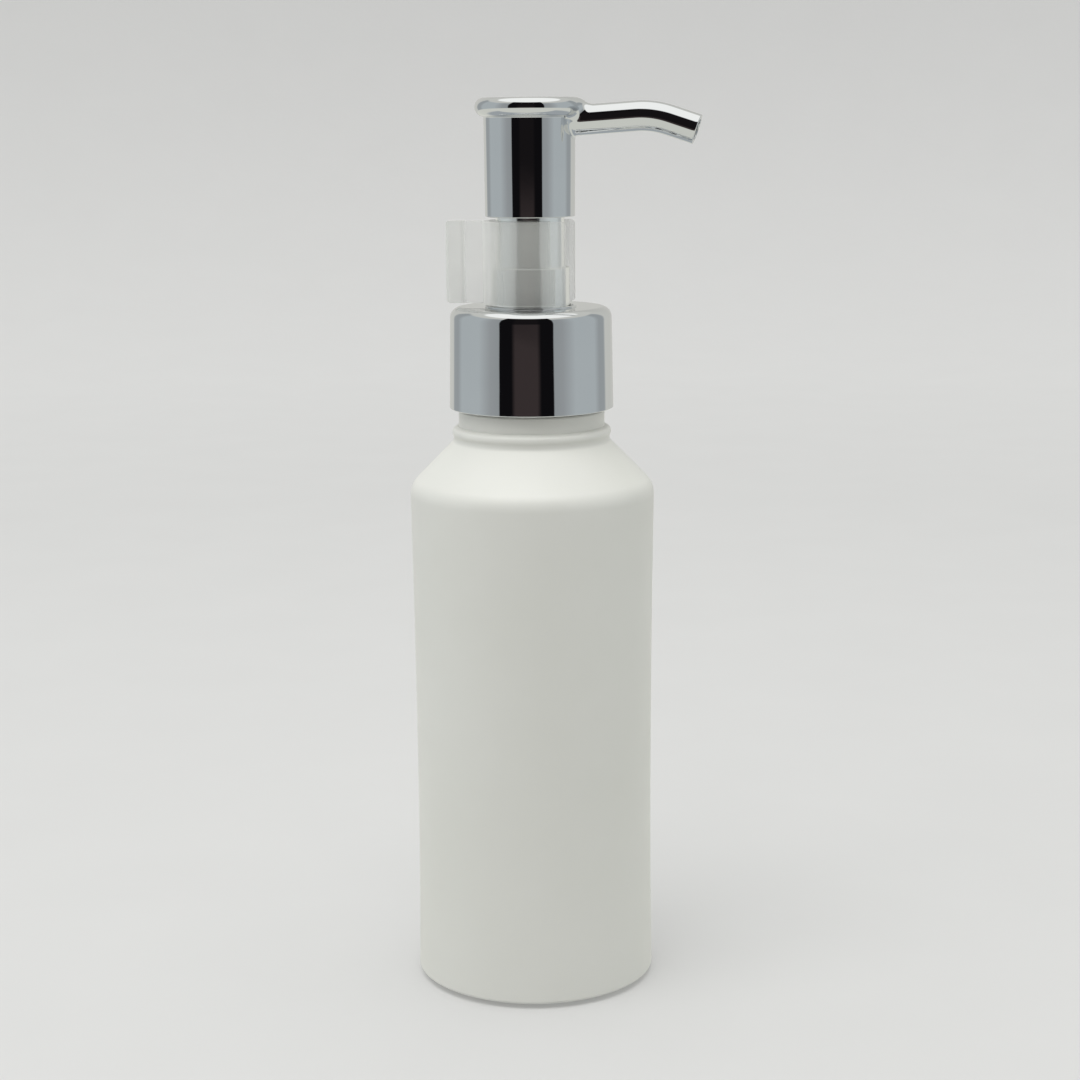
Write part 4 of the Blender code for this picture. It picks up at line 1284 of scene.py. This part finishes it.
def make_world():
    """The room: bright ceiling, grey sides, pale floor and back, and a dark doorway in front."""
    world = bpy.data.worlds.new("room")
    bpy.context.scene.world = world
    world.use_nodes = True
    tree = world.node_tree
    direction = tree.nodes.new("ShaderNodeTexCoord").outputs["Generated"]
    split = tree.nodes.new("ShaderNodeSeparateXYZ")
    tree.links.new(direction, split.inputs[0])
    x, y, z = split.outputs
    along, turn = room_angles(tree, x, y, z)
    height = half_shift(tree, z)
    diffuse = tree.nodes.new("ShaderNodeLightPath").outputs["Is Diffuse Ray"]
    seen = seen_room(tree, along, turn, height, z)
    room = mix_node(tree, diffuse, seen, soft_room(tree, turn, height, x))
    tree.links.new(room, tree.nodes["Background"].inputs["Color"])


def make_lights():
    """One large soft light above, on the left and towards the front."""
    light = bpy.data.lights.new("softbox", "AREA")
    light.shape = "DISK"
    light.size = LAMP_SIZE
    light.energy = LAMP_POWER
    light.color = (1.0, 0.995, 0.985)
    lamp = bpy.data.objects.new("softbox", light)
    bpy.context.scene.collection.objects.link(lamp)
    lamp.location = LAMP_PLACE
    aim = Vector(LAMP_AIM) - lamp.location
    lamp.rotation_euler = aim.to_track_quat("-Z", "Y").to_euler()
    lamp.visible_glossy = False


# ======== assembly


def place(obj, body, node, slot, material):
    obj.data.materials.clear()
    obj.data.materials.append(material)
    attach(obj, body)
    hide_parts(node)
    return obj


def build():
    hdpe = bottle_material()
    bright = silver_material(
        "silver_bright", (0.665, 0.680, 0.690), (0.690, 0.703, 0.710), 0.015, 0.035
    )
    sleeve = silver_material(
        "silver_sleeve", (0.88, 0.89, 0.87), (0.91, 0.92, 0.90), 0.13, 0.18
    )
    white = moulded_material(
        "white_moulding", (0.74, 0.745, 0.73), (0.79, 0.795, 0.78), 0.18, 0.28
    )
    natural = moulded_material(
        "natural_polypropylene",
        (0.76, 0.76, 0.73),
        (0.82, 0.82, 0.79),
        0.25,
        0.35,
        Transmission_Weight=0.45,
    )
    soft = moulded_material(
        "natural_polyethylene",
        (0.76, 0.76, 0.72),
        (0.82, 0.82, 0.78),
        0.35,
        0.5,
        Transmission_Weight=0.3,
    )
    glass = moulded_material(
        "ball_glass", (0.84, 0.90, 0.87), (0.90, 0.95, 0.93), 0.01, 0.04, Transmission_Weight=1.0
    )
    place(make_bottle(), "bottle", "bottle", "bottle_hdpe", hdpe)
    place(make_housing(), "pump", "pump_housing", "natural_pp", natural)
    place(make_gasket(), "pump", "neck_gasket", "gasket_foam", foam_material())
    place(make_guide(), "pump", "guide_chimney", "silver_plating", sleeve)
    place(make_dip_tube(), "pump", "dip_tube", "natural_pe", soft)
    spring = place(make_spring(), "pump", "return_spring", "spring_steel", wire_material())
    place(make_closure(), "closure", "threaded_closure", "white_pp", white)
    place(make_collar(), "closure", "collar_shell", "silver_plating", bright)
    place(make_stem(), "plunger", "stem", "white_pp", white)
    place(make_rod(), "plunger", "piston_rod", "white_pp", white)
    place(make_piston(), "piston", "piston", "natural_pe", soft)
    place(make_ball(), "ball", "inlet_ball", "ball_glass", glass)
    place(make_core(), "head", "head_core", "silver_plating", sleeve)
    place(make_head(), "head", "head_shell", "silver_plating", bright)
    place(make_spout(), "head", "spout", "silver_plating", bright)
    place(make_clip(), "clip", "lock_clip", "milky_pp", clip_material())
    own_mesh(spring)


build()
make_studio()
make_camera()
make_world()
make_lights()
bpy.context.scene.view_settings.view_transform = "Standard"
